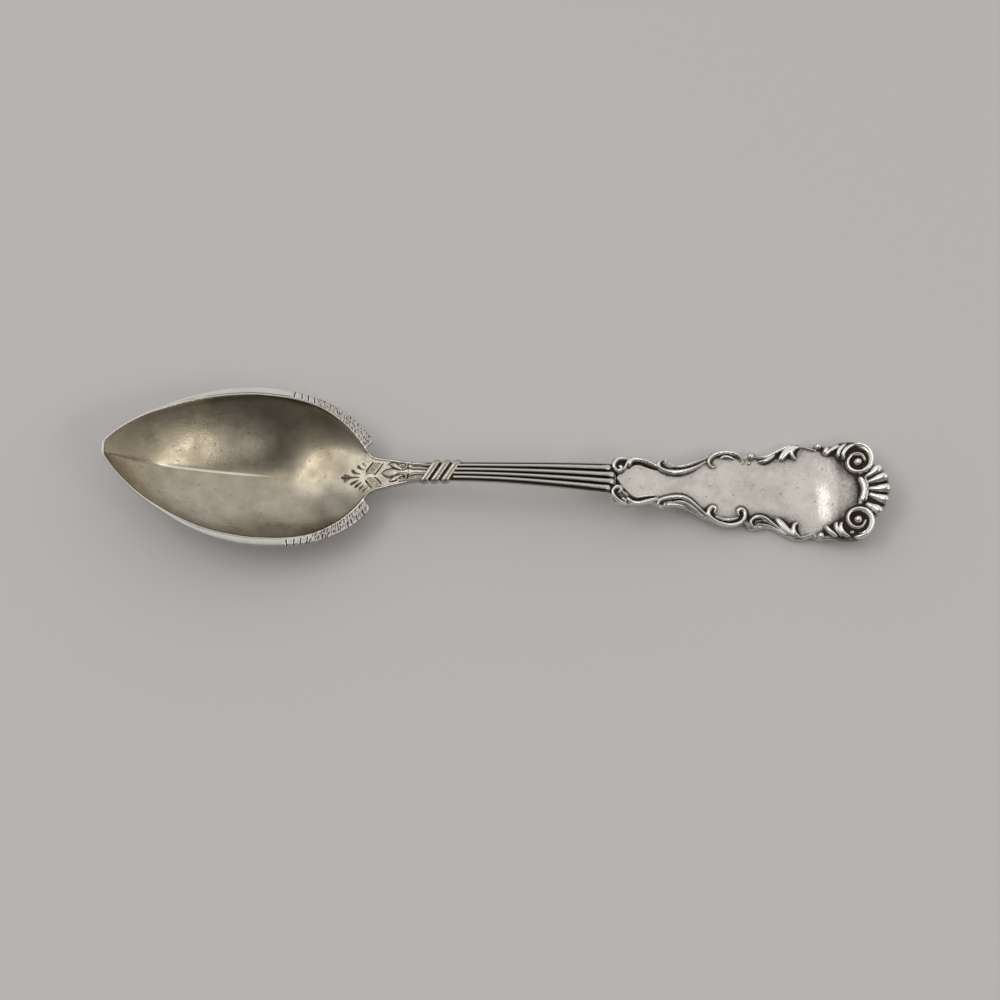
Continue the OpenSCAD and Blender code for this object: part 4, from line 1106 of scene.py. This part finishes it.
# %% Arc bar, shell and volutes
middle = [
    bar([(891.3, 269), (901.5, 155), (906, 42), (902.7, -83), (893.5, -200)], 1.25, TALL, EVEN),
    bar([(907.2, 294), (917, 124), (917.1, -44), (909.7, -203)], FINE, TALL * 0.6, EVEN),
    bead((891.4, -227), 0.35),
] + [
    bar(lobe, 2.0, TALL * 1.2, FAN) for lobe in (
        [(917, 303), (938, 371), (957, 455)],
        [(924.5, 185), (951, 236), (979, 285)],
        [(928.5, 44), (957.6, 43), (988, 52)],
        [(928, -74), (957, -138), (982, -183)],
        [(918, -267), (938, -334), (959, -405)],
    )
]
EYE_RIGHT, EYE_LEFT = (885, 591), (884, 553)
border = right + mirrored(left) + middle + volute(EYE_RIGHT) + mirrored(volute(EYE_LEFT))
print(len(border), "strokes in the border")

# %% Cut the grid along the outline
PITCH = 0.125
FORWARD, MARGIN, BESIDE = 1.25, 0.4, 0.25  # how far the grid reaches past the handle's ends and sides
left_line = smooth(on_plate(PLATE_LEFT), 8)[::-1] * np.array([1, -1])
edge_line = np.vstack([smooth(on_plate(PLATE_RIGHT), 8), left_line[1:]])
edge_line = np.vstack([edge_line, edge_line[:1]])


def to_edge(q):
    """Distance of points to the outline, below zero inside it, and the nearest place on it"""
    best, spot = np.full(len(q), 1e9), np.zeros((len(q), 2))
    inside = np.zeros(len(q), bool)
    for a, b in zip(edge_line, edge_line[1:]):
        d = b - a
        s = np.clip((q - a) @ d / max(d @ d, 1e-12), 0, 1)
        p = a + s[:, None] * d
        far = np.linalg.norm(q - p, axis=1)
        closer = far < best
        best[closer], spot[closer] = far[closer], p[closer]
        crosses = (a[1] > q[:, 1]) != (b[1] > q[:, 1])
        if a[1] != b[1]:
            inside ^= crosses & (q[:, 0] < a[0] + (q[:, 1] - a[1]) * d[0] / d[1])
    return np.where(inside, -best, best), spot


columns = int(round((handle_length + FORWARD + MARGIN) / PITCH)) + 1
rows = 2 * int(round((handle_half + BESIDE) / PITCH)) + 1
handle, row, column = grid("struck_handle", rows, columns)
plan = np.c_[handle_x - FORWARD + PITCH * column, PITCH * (row - (rows - 1) / 2)]
reach, spot = to_edge(plan)
outside = reach > 0
drawn_in = outside & (reach < 2 * PITCH)
plan[drawn_in] = spot[drawn_in]
settle(handle, np.c_[plan, 0 * plan[:, 0]])
print("the handle's grid has", columns, "by", rows, "points")

# %% Remove what lies outside and close the sheet
faces = np.zeros(len(handle.data.polygons) * 4, int)
handle.data.polygons.foreach_get("vertices", faces)
faces = faces.reshape(-1, 4)
lost = outside[faces].all(axis=1) | (reach[faces] > 2 * PITCH).any(axis=1)
bpy.ops.object.mode_set(mode="EDIT")
bpy.ops.mesh.select_mode(type="FACE")
bpy.ops.mesh.select_all(action="DESELECT")
bpy.ops.object.mode_set(mode="OBJECT")
handle.data.polygons.foreach_set("select", lost)
bpy.ops.object.mode_set(mode="EDIT")
bpy.ops.mesh.delete(type="FACE")
bpy.ops.mesh.select_all(action="SELECT")
bpy.ops.mesh.remove_doubles(threshold=1e-6)
bpy.ops.mesh.extrude_region_move(TRANSFORM_OT_translate={"value": (0, 0, -MM)})
bpy.ops.object.mode_set(mode="OBJECT")
print(int(lost.sum()), "faces lay outside, and the closed sheet has", len(handle.data.polygons))

# %% Lift the relief and round the edge
ROUND_TOP, ROUND_UNDER = 0.45, 0.4
co = np.zeros(len(handle.data.vertices) * 3)
handle.data.vertices.foreach_get("co", co)
co = co.reshape(-1, 3) / MM - np.array([tip_x, 0, 0])
x, y, under = co[:, 0], co[:, 1], co[:, 2] < -0.5
inward = -to_edge(co[:, :2])[0]
relief = raised(border, x, y)
# Places in mm from the tip: a shallow dent before the shell here, and stains and painted shade on the panel
# below
step = ramp(x + 0.1 * y, 128.6, 3)
dent = 0.2 * step**2 * (3 - 2 * step) * ramp(x, 138, -5) * np.exp(-((y + 2.2) / 4.2) ** 4)
top = top_z(x) + relief + dent - edge_fall(inward, ROUND_TOP)
bottom = np.maximum(0, top_z(x) - plate_thick(x)) + edge_fall(inward, ROUND_UNDER)
bottom = np.where(x < handle_x, top_z(x) - 0.4, bottom)
settle(handle, np.c_[x, y, np.where(under, bottom, top)])
print("the border stands up to", round(float(relief.max()), 2), "mm over the panel")

# %% Colour the hollows and the crests, with painted shade and highlights
# The relief once more on a plain grid, where the points round each point are known
field_x = handle_x - FORWARD + PITCH * np.arange(columns)
field_y = PITCH * (np.arange(rows) - (rows - 1) / 2)
field = raised(border, *np.meshgrid(field_x, field_y))
deep = np.maximum(0.9 * hollow(field, 4, 0.18), 0.5 * hollow(field, 9, 0.18))
for share, side in ((EYE_RIGHT, 1), (EYE_LEFT, -1)):
    middle = on_plate(share)[0] * (1, side)
    far = np.hypot(field_x[None, :] - middle[0], field_y[:, None] - middle[1])
    deep *= 1 - 0.3 * ramp(far, 3, -0.3)
i = np.clip(np.rint((x - field_x[0]) / PITCH).astype(int), 0, columns - 1)
j = np.clip(np.rint(y / PITCH + (rows - 1) / 2).astype(int), 0, rows - 1)
crest = ramp(field, 0, TALL)[j, i]
plain_panel = crest < 0.05
front = ramp(x - handle_x - 0.75 * np.abs(y - 0.2), 0.5, -0.3) * (np.abs(y) < 1.7) * (crest < 0.1)
# Stain and painted shade above and below the highlight band, a stain by the lower edge, and painted shade
# past X 131.2, where the panel turns up from the light
stains_and_shade = 0.2 * hill(x, 130, 9) * ramp(np.abs(y + 0.5), 2.2, 3) * plain_panel
stains_and_shade += 0.16 * hill(x, 121, 7) * hill(y, -4.2, 2)
stains_and_shade += 0.38 * ramp(x, 131.2, 2) * plain_panel
hollows = np.maximum(deep[j, i] * ramp(inward, 0, 0.7) + stains_and_shade, front)
mark(handle, "cavity", np.where(under, 0, hollows))
# The crests, polished by use, also take a painted highlight
mark(handle, "crest", np.where(under, 0, crest))
face_out(80)
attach(handle, "root")
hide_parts("plate", *[
    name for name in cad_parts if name.split("_")[0] in
    ("root", "side", "c", "bud", "spray", "acanthus", "cove", "flutes", "volute", "arc", "shell")
])
print("the handle has", len(handle.data.polygons), "faces")

# %% [markdown]
# ## Old silver and worn gilt
# Both finishes are metal, so their colour is the colour of their reflection. What makes them look old
# is what varies: black oxide where a cloth can't reach, brown patina beside it, a brushed grain, pits
# and fine scratches. The first group turns the hollows of a piece into oxide, and darkens as well the
# places where shade is painted into the same mask; the second makes the marks of use. Each material
# gives them its own values, and some paint shade and highlights from masks on the mesh.


# %% Groups for all metals
def new_group(name, inputs, outputs):
    """An empty node group with named sockets, its input and output nodes, and its object coordinates"""
    tree = bpy.data.node_groups.new(name, "ShaderNodeTree")
    for way, sockets in (("INPUT", inputs), ("OUTPUT", outputs)):
        for label, kind, value in sockets:
            socket = tree.interface.new_socket(label, in_out=way, socket_type="NodeSocket" + kind)
            if value is not None:
                socket.default_value = value
    place = tree.nodes.new("ShaderNodeTexCoord").outputs["Object"]
    return tree, tree.nodes.new("NodeGroupInput").outputs, tree.nodes.new("NodeGroupOutput"), place


print("the groups read the object's own coordinates")

# %% Oxide in the hollows, and painted shade
oxide, given, out, place = new_group(
    "oxide_and_painted_shade",
    [("Cavity", "Float", 0), ("Metal", "Color", None), ("Black", "Color", None), ("Brown", "Color", None),
     ("Patina", "Float", 0.3)],
    [("Color", "Color", None), ("Mask", "Float", None)],
)
ragged = sums(oxide, "SUBTRACT", speckle(oxide, place, 1800, 3), 0.5)
# The given mask holds oxide and painted shade alike
cavity = sums(oxide, "ADD", given["Cavity"], sums(oxide, "MULTIPLY", ragged, 0.45))
black = between(oxide, cavity, 0.42, 0.85)
beside = sums(oxide, "MULTIPLY", between(oxide, cavity, 0.1, 0.5), 0.75)
cloudy = between(oxide, speckle(oxide, place, 260, 5, 0.65), 0.42, 0.72)
cloudy = sums(oxide, "MULTIPLY", cloudy, given["Patina"])
brown = sums(oxide, "MAXIMUM", beside, cloudy)
colour = blend(oxide, black, blend(oxide, brown, given["Metal"], given["Brown"]), given["Black"])
feed(out, ("Color", colour), ("Mask", black))
print("the oxide group has", len(oxide.nodes), "nodes")

# %% Marks of use
use, given, out, place = new_group(
    "marks_of_use",
    [("Grain", "Float", 1), ("Pits", "Float", 0.3)],
    [("Height", "Float", None), ("Roughness", "Float", None), ("Pit", "Float", None)],
)
brushed = speckle(use, place, 900, 3, 0.6, (0.12, 1, 1), 0.12)
sand = sums(use, "MULTIPLY", speckle(use, place, 2600, 2, 0.5), 0.6)
long_scratch = between(use, speckle(use, place, 620, 1, 0.4, (0.05, 1, 1), -0.6), 0.66, 0.7)
cross_scratch = between(use, speckle(use, place, 520, 1, 0.4, (1, 0.06, 1), 0.35), 0.67, 0.71)
scratch = sums(use, "MULTIPLY", sums(use, "ADD", long_scratch, cross_scratch), 0.2)
pit = between(use, speckle(use, place, 1500, 1, 0.4), 0.7, 0.76)
pit = sums(use, "MULTIPLY", pit, given["Pits"])
height = sums(use, "MULTIPLY", sums(use, "ADD", brushed, sand), given["Grain"])
height = sums(use, "SUBTRACT", height, scratch)
height = sums(use, "SUBTRACT", height, sums(use, "MULTIPLY", pit, 2))
uneven = between(use, speckle(use, place, 330, 4), 0.3, 0.7, -0.05, 0.09)
feed(out, ("Height", height), ("Roughness", uneven), ("Pit", pit))
print("the marks group has", len(use.nodes), "nodes")


# %% A worn metal
BLACK, PIT, PAINTED_SHADE, PAINTED_HIGHLIGHT = (0.035, 0.028, 0.02), (0.08, 0.06, 0.04), (0.1, 0.085, 0.065), (0.94, 0.92, 0.88)
SILVER, RUBBED = (0.62, 0.59, 0.545), (0.66, 0.64, 0.61)


def old_metal(name, metal, roughness, patina=0.25, pits=0.3, grain=1.0, tint=None):
    """A worn metal: its colour under oxide, a second colour if given, and painted shade and highlights"""
    material = bpy.data.materials.new(name)
    material.use_nodes = True
    tree = material.node_tree

    def painted(label):
        node = tree.nodes.new("ShaderNodeAttribute")
        node.attribute_name = label
        return node.outputs["Fac"]

    def shared(group, *pairs):
        node = tree.nodes.new("ShaderNodeGroup")
        node.node_tree = group
        return feed(node, *pairs).outputs

    marks = shared(use, ("Grain", grain), ("Pits", pits))
    dark = shared(
        oxide, ("Cavity", painted("cavity")), ("Patina", patina), ("Black", BLACK),
        ("Metal", blend(tree, painted("tint"), metal, tint) if tint else metal),
        ("Brown", tuple(0.42 * value for value in metal)),
    )
    colour = blend(tree, marks["Pit"], dark["Color"], PIT)
    # Painted shade from the mesh's shade mask, for the metals with a second colour
    if tint:
        colour = blend(tree, painted("shade"), colour, PAINTED_SHADE)
    # A painted highlight on the crests the mesh marks: paler and less rough
    painted_highlight = sums(tree, "MULTIPLY", between(tree, painted("crest"), 0.5, 0.95), 0.85)
    rough = sums(tree, "ADD", marks["Roughness"], roughness)
    rough = sums(tree, "ADD", rough, sums(tree, "MULTIPLY", dark["Mask"], 0.3), clamp=True)
    rough = sums(tree, "SUBTRACT", rough, sums(tree, "MULTIPLY", painted_highlight, 0.12), clamp=True)
    bump = tree.nodes.new("ShaderNodeBump")
    feed(bump, ("Strength", 0.5), ("Distance", 0.00003), ("Height", marks["Height"]))
    feed(
        tree.nodes["Principled BSDF"], ("Metallic", 1), ("Base Color", blend(tree, painted_highlight, colour, PAINTED_HIGHLIGHT)),
        ("Roughness", rough), ("Normal", bump.outputs["Normal"]),
    )
    return material


print("a worn metal takes its colour, the oxide and the marks of use")

# %% Mix the metals
feathered = old_metal("feathered_silver", RUBBED, 0.22, 0.25, 0.4, 2.0, (0.54, 0.51, 0.47))
bound = old_metal("bound_silver", (0.5, 0.465, 0.41), 0.24, 0.3, 0.3, 1.5)
metals = {
    "bowl_shell": old_metal("worn_gilt", (0.44, 0.378, 0.275), 0.27, 0.4, 0.3, 0.9, (0.52, 0.483, 0.41)),
    "rim_band": old_metal("rubbed_silver", RUBBED, 0.2, 0.15, 0.2),
    "chased_neck": old_metal("chased_silver", (0.45, 0.39, 0.295), 0.33, 0.3, 0.3, 5.0, (0.52, 0.48, 0.42)),
    "struck_handle": old_metal("panel_silver", (0.69, 0.66, 0.61), 0.25, 0.5, 0.5, 2.4),
    "feathered_wing_right": feathered, "feathered_wing_left": feathered,
    "band_front_wrap": bound, "band_middle_wrap": bound, "band_back_wrap": bound,
}
plain_silver = old_metal("old_silver", SILVER, 0.22, 0.1, 0.1, 0.6)
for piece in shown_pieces():
    if piece.type == "MESH":
        piece.data.materials.clear()
        piece.data.materials.append(metals.get(piece.name, plain_silver))
print(len(set(metals.values())) + 1, "metals")
